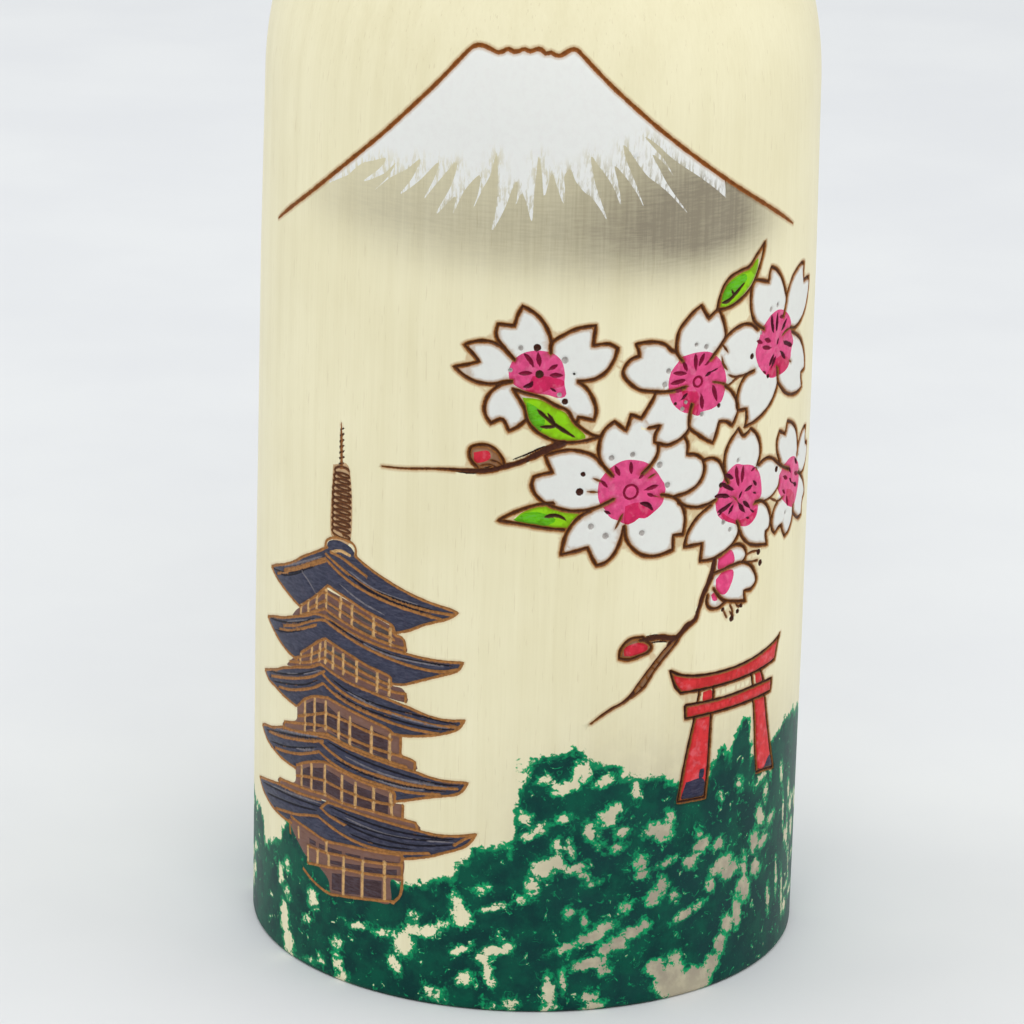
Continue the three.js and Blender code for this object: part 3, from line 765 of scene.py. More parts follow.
coil = np.stack([(x - SHEET_X) / 10 + wide * np.cos(turns), (SHEET_Y - top) / 10 - (bottom - top) / 10 * turns / turns[-1] + 0.36 * np.sin(turns)], 1)
land.groove(curve(coil, 0.26), "coil")
land.fill("230,603 231,598 238,594 249,592 261,594 268,598 269,604 250,609", NAVY)
land.draw("227,604 229,597 237,592 249,589 262,590 269,592 272,598 271,604", "tan", 0.3)
land.draw("236,608 250,603 264,605", "tan_thin", 0.3)

# The foliage: the height where it starts, and the bare places in it.
FOLIAGE_TOP = "60,950 80,945 95,955 105,985 125,970 145,957 160,936 176,930 205,938 240,945 300,948 322,950 330,953 345,955 360,948 385,942 395,935 400,920 415,905 440,900 455,895 458,870 462,830 472,810 480,797 500,795 520,790 532,790 535,800 545,805 565,810 575,822 600,826 620,828 628,840 650,842 680,842 690,820 700,812 710,825 720,800 735,792 745,795 750,830 765,840 800,830 815,822 830,815 860,818 880,825"
GAPS = (
    "490,825,10,6 515,832,22,8 530,815,12,14 555,828,14,7 590,842,6,14 470,868,8,10 485,880,10,8 475,888,12,5 510,868,12,5 560,870,14,12 567,862,10,9 540,885,8,14 575,888,10,6 505,898,6,8 550,900,4,4 570,905,10,5 "
    "612,890,14,10 625,895,14,12 632,880,6,10 490,925,14,14 505,918,10,10 520,905,5,12 525,925,14,6 535,935,6,8 480,945,8,14 470,960,8,6 545,942,6,3 598,925,10,10 600,940,10,5 615,968,12,10 625,955,8,12 640,970,6,6 "
    "670,905,5,8 675,920,12,10 660,935,12,10 630,930,14,5 700,925,10,8 705,950,20,10 720,960,18,12 690,970,8,8 745,965,6,20 740,985,8,12 520,975,6,6 537,985,4,10 583,975,8,8 520,1015,20,5 545,1005,20,8 560,995,14,8 "
    "590,1005,20,8 605,998,8,8 560,1020,14,8 545,1035,25,8 560,1045,8,6 575,1015,12,10 500,1065,8,22 500,1085,10,6 515,1050,4,14 545,1075,10,10 550,1085,16,5 640,1070,28,18 664,1078,40,22 640,1062,24,16 620,1050,14,12 645,1045,10,10 "
    "735,1012,9,22 748,990,12,18 768,972,12,12 697,1062,12,14 708,1043,11,14 719,1022,10,14 763,940,12,15 774,914,10,16 784,888,6,14 792,862,4,16 800,1020,5,18 822,1000,4,26 845,1030,4,30 838,930,4,26 858,960,3,34 872,1000,3,30 826,880,5,14 655,995,18,6 670,990,14,5 730,865,6,8 700,870,4,6 770,870,12,6 800,925,10,8 780,945,14,8 150,1000,8,15 165,985,8,8 160,1050,11,24 170,1075,14,20 "
    "215,1008,10,14 165,1018,6,8 205,1035,8,5 255,1045,10,8 340,1025,14,18 330,1050,8,14 315,1018,12,6 350,1008,14,8 370,1005,18,8 285,1018,16,5 385,995,10,5 352,990,6,6 405,985,14,14 400,970,8,14 440,970,16,4 "
    "425,950,10,5 410,1055,12,8 435,1045,6,14 440,1020,18,8 455,1015,8,8 430,1030,8,10 405,1022,12,5 438,1055,5,10 460,1080,10,8 435,1082,5,8 385,1080,6,12 370,1075,6,8 255,1070,8,12 260,1085,12,8 230,1075,6,8 208,1080,8,3"
)
GREYS = [(265, 224, 62, 20, 0.22), (360, 222, 80, 31, 0.28), (460, 225, 80, 38, 0.30), (560, 226, 60, 40, 0.46), (652, 234, 54, 32, 0.84), (712, 240, 40, 22, 0.36), (420, 262, 110, 14, 0.10), (600, 262, 90, 18, 0.12)]


def foliage(p):
    """Height above each point where the leaves start, and how far inside a bare place it is, in mm."""
    x, y = p[:, 0] * 10 + SHEET_X, SHEET_Y - p[:, 1] * 10
    edge = np.array([tuple(map(float, w.split(","))) for w in FOLIAGE_TOP.split()])
    # Round the back the line goes on by chance and meets both ends.
    chance = np.random.default_rng(5)
    back_x = np.linspace(900, 60 + 2 * HALF * 10 - 12, 90)
    back_y = 892 + 26 * np.sin(back_x / 97) + 12 * np.sin(back_x / 37 + 1) + chance.uniform(-13, 13, 90)
    mix = np.clip((back_x - 900) / 80, 0, 1)
    back_y = back_y * mix + 825 * (1 - mix)
    mix = np.clip((back_x[-1] - back_x) / 80, 0, 1)
    back_y = back_y * mix + 950 * (1 - mix)
    wrapped = np.where(x < 60, x + 2 * HALF * 10, x)
    top = np.interp(wrapped, np.concatenate([edge[:, 0], back_x]), np.concatenate([edge[:, 1], back_y]))
    lean = np.interp(wrapped + 4, np.concatenate([edge[:, 0], back_x]), np.concatenate([edge[:, 1], back_y])) - np.interp(wrapped - 4, np.concatenate([edge[:, 0], back_x]), np.concatenate([edge[:, 1], back_y]))
    fz = (y - top) / 10 / np.sqrt(1 + (lean / 8) ** 2)
    gap = np.full(len(p), -3.0)
    holes = [tuple(map(float, w.split(","))) for w in GAPS.split()]
    for k in range(230):
        cx = chance.uniform(850, 1960)
        cy = chance.uniform(900, 1088)
        if not 850 < cx < 60 + 2 * HALF * 10 + 30:
            continue
        holes.append((cx, cy, chance.uniform(4, 15), chance.uniform(4, 15)))
    for cx, cy, rx, ry in holes:
        for shift in (0, -2 * HALF * 10):
            # Broad ones slope up to the right, as strokes of the sponge.
            turn = 0.32 if ry < 1.8 * rx and rx < 24 else 0.12
            u, v = x - cx - shift, y - cy
            d = np.hypot((u * math.cos(turn) - v * math.sin(turn)) / rx, (u * math.sin(turn) + v * math.cos(turn)) / ry) / 0.82
            gap = np.maximum(gap, (1 - d) * math.sqrt(rx * ry) / 10)
    return fz, gap


def airbrush(p):
    """The grey haze under the snow, and the beige one behind the leaves."""
    x, y = p[:, 0] * 10 + SHEET_X, SHEET_Y - p[:, 1] * 10
    grey = np.zeros(len(p))
    for cx, cy, sx, sy, amp in GREYS:
        # It fades out below, and goes on up between the points of the snow.
        fall = np.where(y > cy, (y - cy) / sy, (cy - y) / (2.4 * sy))
        grey += amp * np.exp(-0.5 * ((x - cx) / sx) ** 2 - 0.5 * fall**2)
    peak_y = np.interp(x, (peak[:, 0] * 10 + SHEET_X), SHEET_Y - peak[:, 1] * 10, left=2000, right=2000)
    above = np.clip((y - peak_y) / 5 + 0.5, 0, 1)
    grey *= np.where(y < 262, above, np.where((x > 117) & (x < 800), 1, np.exp(-(((x - 470) / 330) ** 2 - 1).clip(0) * 8)))
    beige = 1.3 * np.exp(-0.5 * ((x - 655) / 165) ** 2 - 0.5 * ((y - 985) / 105) ** 2) * np.clip((x - 395) / 130, 0, 1)
    return np.clip(grey, 0, 1), np.clip(beige, 0, 1)


def body_radius(z):
    """The turned body's radius at height z, mm."""
    z = np.asarray(z, float)
    low = np.interp(z, [0, 34, 56, 76, SHOULDER_Z], [BASE_R, BASE_R, 29.86, 29.75, SHOULDER_R])
    top = math.sqrt(1 - ((NECK_R - 12.3) / (SHOULDER_R - 12.3)) ** 2)
    s = np.clip((z - SHOULDER_Z) / (NECK_Z - SHOULDER_Z) * top, 0, 1)
    return np.where(z > SHOULDER_Z, 12.3 + (SHOULDER_R - 12.3) * np.sqrt(1 - s**2), low)


COLUMNS = 192
SKIN_LO, SKIN_HI = (-HALF, 1.2), (HALF, 112.0)
p, tri = lay(
    land, SKIN_LO, SKIN_HI, COLUMNS, 80,
    [((-45.6, 1.4), (44, 30.5), 0.44), ((-47, 30.5), (44, 108.5), 0.78), ((-HALF + 0.6, 1.8), (HALF - 0.6, 34), 1.0), ((-HALF + 0.8, 34.6), (HALF - 0.8, 111.4), 1.5)],
)
paint, raised = shapes_at(land, p, tri)
edge, tint, deep = cut(p, land.grooves, land.pits)
fz, gap = foliage(p)
grey, beige = airbrush(p)
dry, _, _ = cut(p, [(hem, np.full(len(hem), 1e-4), np.zeros(len(hem)), (0, 0, 0), 0)], [], 1.6)
lift = 0.045 * raised * np.clip(edge / 0.1, 0, 1) - deep
lift *= np.clip(np.minimum(p[:, 1] - SKIN_LO[1], SKIN_HI[1] - p[:, 1]), 0, 1)
angle, r = p[:, 0] / BASE_R, body_radius(p[:, 1]) + lift
skin = np.stack([r * np.sin(angle), -r * np.cos(angle), p[:, 1]], 1)

# Above the drawing: the shoulder, the neck and its socket. Below: the foot, the dished underside and the chuck hole.
t = np.linspace(0, 1, 15)
top_z = SKIN_HI[1] + (NECK_Z - 0.15 - SKIN_HI[1]) * t**0.85
crown = [(float(body_radius(z)), float(z)) for z in top_z]
crown += [(NECK_R - 0.25, NECK_Z), (NECK_R - 0.8, NECK_Z), (9.5, NECK_Z), (MOUTH_R + 0.7, NECK_Z), (MOUTH_R + 0.25, NECK_Z - 0.08), (MOUTH_R, NECK_Z - 0.35), (MOUTH_R, NECK_Z - 1.2), (MOUTH_R, NECK_Z - 5), (MOUTH_R, NECK_Z - MOUTH_DEPTH), (CHAMBER_R, NECK_Z - MOUTH_DEPTH - 1.2), (CHAMBER_R, NECK_Z - 16), (CHAMBER_R, NECK_Z - CHAMBER_DEPTH + 0.3), (CHAMBER_R - 0.3, NECK_Z - CHAMBER_DEPTH), (4.0, NECK_Z - CHAMBER_DEPTH)]
foot = [(4.0, CHUCK_DEPTH), (CHUCK_R - 0.3, CHUCK_DEPTH), (CHUCK_R, CHUCK_DEPTH - 0.3), (CHUCK_R, 7.0), (CHUCK_R, 2.0), (CHUCK_R, DISH + 0.3), (CHUCK_R + 0.3, DISH), (12, DISH), (19.5, DISH), (20.4, DISH - 0.12), (FOOT_RING_R - 0.1, 0.12), (FOOT_RING_R + 0.5, 0.0), (25, 0.0), (29.0, 0.0), (BASE_R - 0.42, 0.03), (BASE_R - 0.16, 0.14), (BASE_R - 0.03, 0.36), (BASE_R, 0.62), (BASE_R, SKIN_LO[1])]
upper, lower = revolve(crown, COLUMNS), revolve(foot, COLUMNS)
tips = np.array([[0, 0, NECK_Z - CHAMBER_DEPTH], [0, 0, CHUCK_DEPTH]])
points = np.vstack([skin, upper, lower, tips])
n0, n1, n2 = len(skin), len(skin) + len(upper), len(skin) + len(upper) + len(lower)
i = np.arange(COLUMNS)
caps = np.vstack([
    np.stack([n0 + (len(crown) - 1) * COLUMNS + i, n0 + (len(crown) - 1) * COLUMNS + (i + 1) % COLUMNS, np.full(COLUMNS, n2)], 1),
    np.stack([n1 + (i + 1) % COLUMNS, n1 + i, np.full(COLUMNS, n2 + 1)], 1),
])
quads = np.vstack([rows_to_faces(len(crown), COLUMNS, n0), rows_to_faces(len(foot), COLUMNS, n1)])
first, (tri_w, caps_w, quads_w) = weld(points, [tri, caps, quads])


def whole(values, rest):
    """Values of the skin's points, with rest for every other, in the welded order."""
    values = np.asarray(values, float)
    shape = (len(points) - len(values),) + values.shape[1:]
    return np.concatenate([values, np.broadcast_to(rest, shape)])[first]


lower_z = points[:, 2][first]
faces = [tri_w, caps_w, quads_w]
paint_all = np.vstack([paint, np.zeros((len(caps_w) + len(quads_w), 4))])
fz_low, gap_low = foliage(np.stack([np.arctan2(points[n0:, 0], -points[n0:, 1]) * BASE_R, np.maximum(points[n0:, 2], 0.05)], 1))
side = (np.hypot(points[n0:, 0], points[n0:, 1]) > BASE_R - 0.5) & (points[n0:, 2] < 30)
body = make_mesh("body_painted", points[first], faces, [
    ("edge", "FLOAT", "POINT", whole(edge, 0.8)),
    ("line", "FLOAT_COLOR", "POINT", whole(tint, 0.0)),
    ("paint", "FLOAT_COLOR", "FACE", paint_all),
    ("leaf_depth", "FLOAT", "POINT", np.concatenate([fz, np.where(side, fz_low, -9)])[first]),
    ("leaf_gap", "FLOAT", "POINT", np.concatenate([gap, np.where(side, gap_low, -3)])[first]),
    ("haze", "FLOAT", "POINT", whole(grey, 0.0)),
    ("dry", "FLOAT", "POINT", whole(np.clip(1 - dry / 1.5, 0, 1), 0.0)),
    ("ochre", "FLOAT", "POINT", np.concatenate([beige, np.where(side, airbrush(np.stack([np.arctan2(points[n0:, 0], -points[n0:, 1]) * BASE_R, points[n0:, 2]], 1))[1], 0)])[first]),
])
print("body", len(body.data.vertices), "points", len(body.data.polygons), "faces")

# ------------------------------------------------------------------ the head
HEAD_K, HEAD_V = HEAD_RX, 25.8  # sheet mm per radian round and up the head
SEAT_PHI = -math.acos(HEAD_SEAT_R / HEAD_RX)
face = Sheet()


def head_at(s, v, rx, rz):
    """The place on an ellipsoid for a point on the head's sheet."""
    lam, phi = s / HEAD_K, v / HEAD_V
    r = rx * np.cos(phi)
    return np.stack([r * np.sin(lam), -r * np.cos(lam), HEAD_CZ + rz * np.sin(phi)], 1)


def face_line(points, style, step=0.25, taper=(1.2, 1.2)):
    line = curve(np.array(points, float), step)
    face.groove(line, style, taper)


LASH = (0.95, 0.12, srgb(38, 26, 24), 0)
BROW = (0.36, 0.08, srgb(58, 40, 34), 0)
for m in (-1, 1):
    face_line([(m * 11.0, -1.6), (m * 9.7, -0.1), (m * 7.6, 0.7), (m * 5.4, 0.1), (m * 4.3, -1.2)], LASH, taper=(2.4, 2.0))
    face_line([(m * 10.9, -1.5), (m * 11.7, -2.2)], (0.4, 0.08, srgb(38, 26, 24), 0), taper=(0, 0.8))
    face_line([(m * 11.2, 3.1), (m * 9.0, 4.4), (m * 6.6, 4.8), (m * 4.4, 4.2)], BROW, taper=(2.0, 1.5))
face_line([(0.5, -3.6), (-0.25, -4.5), (-0.1, -5.0), (0.5, -5.2)], (0.26, 0.07, srgb(120, 74, 56), 0), taper=(0.8, 0.5))
a = np.linspace(0, 2 * PI, 40, endpoint=False)
lips = np.stack([1.75 * np.cos(a), -9.1 + 0.78 * np.sin(a) - 0.24 * np.exp(-((np.cos(a) / 0.28) ** 2)) * (np.sin(a) > 0)], 1)
face.fill(lips, srgb(196, 44, 52))
face_line([(-1.9, -8.95), (-0.8, -9.2), (0, -9.05), (0.8, -9.2), (1.9, -8.95)], (0.22, 0.08, srgb(112, 22, 30), 0), taper=(0.6, 0.6))

HEAD_COLUMNS, HEAD_HALF = 160, PI * HEAD_K
HEAD_LO, HEAD_HI = (-HEAD_HALF, SEAT_PHI * HEAD_V), (HEAD_HALF, 1.44 * HEAD_V)
p, tri = lay(face, HEAD_LO, HEAD_HI, HEAD_COLUMNS, 48, [((-15, -13), (15, 7), 0.55), ((-HEAD_HALF + 0.6, HEAD_LO[1] + 0.6), (HEAD_HALF - 0.6, HEAD_HI[1] - 0.6), 1.25)])
paint, raised = shapes_at(face, p, tri)
edge, tint, deep = cut(p, face.grooves, face.pits)
lift = 0.04 * raised * np.clip(edge / 0.1, 0, 1) - deep
skin = head_at(p[:, 0], p[:, 1], HEAD_RX, HEAD_RZ)
out = (skin - (0, 0, HEAD_CZ)) / (HEAD_RX**2, HEAD_RX**2, HEAD_RZ**2)
skin = skin + out / np.linalg.norm(out, axis=1)[:, None] * lift[:, None]
flush = np.zeros(len(p))
for m in (-1, 1):
    flush += np.exp(-0.5 * ((p[:, 0] - m * 12.0) / 2.6) ** 2 - 0.5 * ((p[:, 1] + 5.6) / 2.1) ** 2)
seat = [(4.0, HEAD_SEAT_Z + 18), (MOUTH_R - 0.3, HEAD_SEAT_Z + 18), (MOUTH_R, HEAD_SEAT_Z + 17.7), (MOUTH_R, HEAD_SEAT_Z + 9), (MOUTH_R, HEAD_SEAT_Z + 0.3), (MOUTH_R + 0.3, HEAD_SEAT_Z), (9.0, HEAD_SEAT_Z), (HEAD_SEAT_R - 0.5, HEAD_SEAT_Z), (HEAD_SEAT_R, HEAD_SEAT_Z)]
low_rows = revolve(seat, HEAD_COLUMNS)
top_row = head_at(np.linspace(-HEAD_HALF, HEAD_HALF, HEAD_COLUMNS + 1)[:-1], np.full(HEAD_COLUMNS, HEAD_HI[1]), HEAD_RX, HEAD_RZ)
points = np.vstack([skin, low_rows, top_row, [[0, 0, HEAD_SEAT_Z + 18], [0, 0, HEAD_CZ + HEAD_RZ]]])
n0, n1, n2 = len(skin), len(skin) + len(low_rows), len(skin) + len(low_rows) + len(top_row)
i = np.arange(HEAD_COLUMNS)
caps = np.vstack([
    np.stack([n0 + (i + 1) % HEAD_COLUMNS, n0 + i, np.full(HEAD_COLUMNS, n2)], 1),
    np.stack([n1 + i, n1 + (i + 1) % HEAD_COLUMNS, np.full(HEAD_COLUMNS, n2 + 1)], 1),
])
quads = rows_to_faces(len(seat), HEAD_COLUMNS, n0)
first, (tri_w, caps_w, quads_w) = weld(points, [tri, caps, quads])
head = make_mesh("head_painted", points[first], [tri_w, caps_w, quads_w], [
    ("edge", "FLOAT", "POINT", whole(edge, 0.8)),
    ("line", "FLOAT_COLOR", "POINT", whole(tint, 0.0)),
    ("paint", "FLOAT_COLOR", "FACE", np.vstack([paint, np.zeros((len(caps_w) + len(quads_w), 4))])),
    ("flush", "FLOAT", "POINT", whole(np.clip(flush, 0, 1), 0.0)),
])

# ------------------------------------------------------------------ the hair
HAIR_OUT_RX, HAIR_OUT_RZ = HAIR_IN_RX + HAIR_T, HAIR_IN_RZ + HAIR_T
STRANDS, HAIR_COLUMNS = 92, 368


def window_point(x, z):
    """A point of the face opening, seen from the front, on the head's sheet."""
    phi = math.asin(z / HAIR_OUT_RZ)
    return (math.asin(x / (HAIR_OUT_RX * math.cos(phi))) * HEAD_K, phi * HEAD_V)


hem_v = math.asin(HAIR_HEM / HAIR_OUT_RZ) * HEAD_V
outline = [(FACE_HALF_W + 1.5, HAIR_HEM), (FACE_HALF_W + 1.1, HAIR_HEM + 3), (FACE_HALF_W + 0.55, HAIR_HEM + 8), (FACE_HALF_W + 0.2, HAIR_HEM + 13), (FACE_HALF_W, HAIR_HEM + 16.2), (FACE_HALF_W - 0.5, FRINGE_Z - 1.6), (FACE_HALF_W - 1.5, FRINGE_Z - 0.5), (FACE_HALF_W - 3.4, FRINGE_Z), (9.5, FRINGE_Z + 0.8), (4.5, FRINGE_Z + FRINGE_ARCH * 0.92), (0, FRINGE_Z + FRINGE_ARCH)]
half = curve(np.array([window_point(x, z) for x, z in outline]), 0.42)
half[0, 1] = hem_v
opening = np.vstack([half, half[-2::-1] * (-1, 1)])
shell = Sheet()
shell.groove(opening, (0.0001, 0.0, (0, 0, 0), 0))
HAIR_LO, HAIR_HI = (-HEAD_HALF, hem_v), (HEAD_HALF, 1.47 * HEAD_V)
gs = np.linspace(-HEAD_HALF, HEAD_HALF, HAIR_COLUMNS + 1)[1:-1]
gv = np.concatenate([hem_v + np.array([0.14, 0.36, 0.7, 1.15, 1.7]), np.arange(hem_v + 2.5, HAIR_HI[1] - 0.4, 1.05)])
strand_grid = np.stack([g.ravel() for g in np.meshgrid(gs, gv)], 1)
d = np.gradient(opening, axis=0)
n = np.stack([-d[:, 1], d[:, 0]], 1) / np.hypot(*d.T)[:, None]
rails = np.vstack([opening + n * off * side for off in (0.36, 0.7, 1.15, 1.6) for side in (-1, 1)])
rails = rails[rails[:, 1] > hem_v + 0.12]
p, tri = lay(shell, HAIR_LO, HAIR_HI, HAIR_COLUMNS, 44, [], np.vstack([rails, strand_grid]))
gone = inside(p[tri].mean(1), np.vstack([opening, [[0, hem_v - 5]]]))
tri = tri[~gone]
rim, _, _ = cut(p, shell.grooves, [], 3.0)
beyond = np.abs(p[:, 0]) > opening[:, 0].max()
rim = np.minimum(rim + 0.0001, np.where(beyond | (p[:, 1] > hem_v + 3), p[:, 1] - hem_v, np.minimum(3.0, p[:, 1] - hem_v)))
rim = np.where(rim < 0.01, 0, rim)
sides = np.sort(np.vstack([tri[:, [0, 1]], tri[:, [1, 2]], tri[:, [2, 0]]]), axis=1)
both, count = np.unique(sides, axis=0, return_counts=True)
both = both[count == 1]
seam = (np.abs(p[both, 0]) > HEAD_HALF - 1e-6).all(1) | (p[both, 1] > HAIR_HI[1] - 1e-6).all(1)
rim[both[~seam]] = 0
tri = tri[(rim[tri] > 0).any(1)]
# An edge across the sheet between two points of its rim would pinch the shell, so it gets a point of its own.
while True:
    sides = np.sort(np.vstack([tri[:, [0, 1]], tri[:, [1, 2]], tri[:, [2, 0]]]), axis=1)
    both, count = np.unique(sides, axis=0, return_counts=True)
    chords = both[(count == 2) & (rim[both] == 0).all(1)]
    if not len(chords):
        break
    a, b = chords[0]
    p, rim = np.vstack([p, [(p[a] + p[b]) / 2]]), np.append(rim, 0.06)
    across = tri[((tri == a) | (tri == b)).sum(1) == 2]
    rest = tri[((tri == a) | (tri == b)).sum(1) != 2]
    tri = np.vstack([rest, np.where(across == a, len(p) - 1, across), np.where(across == b, len(p) - 1, across)])
used = np.zeros(len(p), bool)
used[tri] = True
on_rim = used & (rim < 1e-3)
phi = p[:, 1] / HEAD_V
lip = np.sqrt(np.clip(1 - (1 - np.clip(rim / 1.5, 0, 1)) ** 2, 0, 1))
lam = p[:, 0] / HEAD_K
strand = 0.5 - 0.5 * np.cos(lam * STRANDS + 0.9 * np.sin(lam * 5 + 1) + 0.5 * np.sin(lam * 11) + 0.25 * np.sin(phi * 4 + lam * 17))
comb = 0.13 * (1 - strand) ** 2.5 * np.clip((1.36 - phi) / 0.25, 0, 1) * np.clip(rim / 0.9, 0, 1)
a_in, a_out = head_at(p[:, 0], p[:, 1], HAIR_IN_RX, HAIR_IN_RZ), head_at(p[:, 0], p[:, 1], HAIR_OUT_RX, HAIR_OUT_RZ)
out = (a_out - (0, 0, HEAD_CZ)) / (HAIR_OUT_RX**2, HAIR_OUT_RX**2, HAIR_OUT_RZ**2)
outer = a_in + (a_out - a_in) * lip[:, None] - out / np.linalg.norm(out, axis=1)[:, None] * comb[:, None]
inner = a_in
ring = np.linspace(-HEAD_HALF, HEAD_HALF, HAIR_COLUMNS + 1)[:-1]
flat_v = np.full(HAIR_COLUMNS, HAIR_HI[1])
points = np.vstack([outer, inner, [[0, 0, HEAD_CZ + HAIR_OUT_RZ], [0, 0, HEAD_CZ + HAIR_IN_RZ]]])
m = len(p)
# The last row before the crown, in order round the head, closes on one point.
last = np.flatnonzero(used & (np.abs(p[:, 1] - HAIR_HI[1]) < 1e-6))
last = last[np.argsort(p[last, 0])]
crown_out = np.stack([last[:-1], last[1:], np.full(len(last) - 1, 2 * m)], 1)
crown_in = np.stack([last[1:] + m, last[:-1] + m, np.full(len(last) - 1, 2 * m + 1)], 1)
flipped = tri[:, ::-1] + m
first, (outer_w, inner_w, crown_w, crown2_w) = weld(points, [tri, flipped, crown_out, crown_in])
rim_all = np.concatenate([rim, rim * 0, [3.0, 0]])[first]
comb_all = np.concatenate([comb, comb * 0, [0, 0]])[first]
hair = make_mesh("hair_lacquered", points[first], [np.vstack([outer_w, inner_w, crown_w, crown2_w])], [
    ("rim", "FLOAT", "POINT", rim_all),
    ("comb", "FLOAT", "POINT", comb_all),
])
for ob in (head, hair):
    print(ob.name, len(ob.data.vertices), "points", len(ob.data.polygons), "faces")

# ------------------------------------------------------------------ materials
class Nodes:
    """A material's node tree, with short ways to add to it."""

    def __init__(self, name):
        self.material = bpy.data.materials.new(name)
        self.material.use_nodes = True
        self.tree = self.material.node_tree
        self.tree.nodes.clear()
        self.out = self.tree.nodes.new("ShaderNodeOutputMaterial")
        self.bsdf = self.tree.nodes.new("ShaderNodeBsdfPrincipled")
        self.tree.links.new(self.bsdf.outputs[0], self.out.inputs[0])
        coord = self.tree.nodes.new("ShaderNodeTexCoord")
        self.mm = self.vector("SCALE", coord.outputs["Object"], scale=1000.0)

    def put(self, socket, value):
        if isinstance(value, bpy.types.NodeSocket):
            self.tree.links.new(value, socket)
        elif isinstance(value, tuple) and len(value) == 3 and socket.type == "RGBA":
            socket.default_value = (*value, 1)
        else:
            socket.default_value = value

    def math(self, op, a, b=0.0, c=0.0, clamp=False):
        node = self.tree.nodes.new("ShaderNodeMath")
        node.operation, node.use_clamp = op, clamp
        for socket, value in zip(node.inputs, (a, b, c)):
            self.put(socket, value)
        return node.outputs[0]

    def vector(self, op, a, b=(0.0, 0.0, 0.0), scale=1.0):
        node = self.tree.nodes.new("ShaderNodeVectorMath")
        node.operation = op
        self.put(node.inputs[0], a)
        if op == "SCALE":
            self.put(node.inputs["Scale"], scale)
        elif op != "LENGTH":
            self.put(node.inputs[1], b)
        return node.outputs["Value"] if op in ("LENGTH", "DISTANCE", "DOT_PRODUCT") else node.outputs[0]

    def ramp(self, value, lo, hi, out_lo=0.0, out_hi=1.0, smooth=True):
        node = self.tree.nodes.new("ShaderNodeMapRange")
        node.interpolation_type = "SMOOTHSTEP" if smooth else "LINEAR"
        for socket, v in zip(node.inputs[:5], (value, lo, hi, out_lo, out_hi)):
            self.put(socket, v)
        return node.outputs[0]

    def noise(self, scale, detail=3.0, rough=0.55, at=None, warp=0.0):
        """Noise about 0.5, with scale in features per mm along x, y and z."""
        node = self.tree.nodes.new("ShaderNodeTexNoise")
        node.noise_dimensions = "3D"
        self.put(node.inputs["Vector"], self.vector("MULTIPLY", self.mm if at is None else at, scale if isinstance(scale, tuple) else (scale, scale, scale)))
        self.put(node.inputs["Scale"], 1.0)
        self.put(node.inputs["Detail"], detail)
        self.put(node.inputs["Roughness"], rough)
        self.put(node.inputs["Distortion"], warp)
        return node.outputs[0]

    def mix(self, share, a, b, blend="MIX"):
        node = self.tree.nodes.new("ShaderNodeMix")
        node.data_type, node.blend_type = "RGBA", blend
        self.put(node.inputs[0], share)
        self.put(node.inputs[6], a)
        self.put(node.inputs[7], b)
        return node.outputs[2]

    def attribute(self, name):
        node = self.tree.nodes.new("ShaderNodeAttribute")
        node.attribute_type, node.attribute_name = "GEOMETRY", name
        return node

    def bump(self, height, strength, distance, normal=None):
        node = self.tree.nodes.new("ShaderNodeBump")
        self.put(node.inputs["Strength"], strength)
        self.put(node.inputs["Distance"], distance)
        self.put(node.inputs["Height"], height)
        if normal is not None:
            self.put(node.inputs["Normal"], normal)
        return node.outputs[0]

    def finish(self, colour, roughness, normal=None, **fixed):
        self.put(self.bsdf.inputs["Base Color"], colour)
        self.put(self.bsdf.inputs["Roughness"], roughness)
        if normal is not None:
            self.put(self.bsdf.inputs["Normal"], normal)
        for name, value in fixed.items():
            self.put(self.bsdf.inputs[name.replace("_", " ")], value)
        return self.material


def pale_wood(g, light=(241, 234, 200), dark=(226, 217, 178), pith=(-64.0, 46.0)):
    """Colour and height of fine straight-grained wood, grain along z."""
    px, py = pith
    spread = g.vector("LENGTH", g.vector("MULTIPLY", g.vector("SUBTRACT", g.mm, (px, py, 0.0)), (1.0, 1.0, 0.012)))
    drift = g.noise((0.05, 0.05, 0.012), 2.0)
    rings = g.math("SINE", g.math("ADD", g.math("MULTIPLY", spread, 2.1), g.math("MULTIPLY", drift, 16.0)))
    rings = g.ramp(rings, -0.4, 1.0)
    broad = g.noise((0.45, 0.45, 0.01), 3.0)
    streak = g.noise((3.2, 3.2, 0.09), 4.0, 0.6)
    fibre = g.noise((9.0, 9.0, 0.5), 3.0, 0.65)
    tone = g.math("MULTIPLY_ADD", broad, 0.20, g.math("MULTIPLY", rings, 0.04))
    tone = g.math("MULTIPLY_ADD", streak, 0.27, tone)
    tone = g.ramp(g.math("MULTIPLY_ADD", g.noise((0.09, 0.09, 0.07), 3.0), 0.4, tone), 0.18, 0.76)
    colour = g.mix(tone, srgb(*light), srgb(*dark))
    # A few darker pores.
    pores = g.ramp(g.noise((5.0, 5.0, 0.35), 2.0, 0.5), 0.64, 0.74, 0.0, 0.22)
    colour = g.mix(pores, colour, srgb(186, 166, 122))
    return colour, g.math("MULTIPLY_ADD", fibre, 0.6, g.math("MULTIPLY", streak, 0.5)), streak


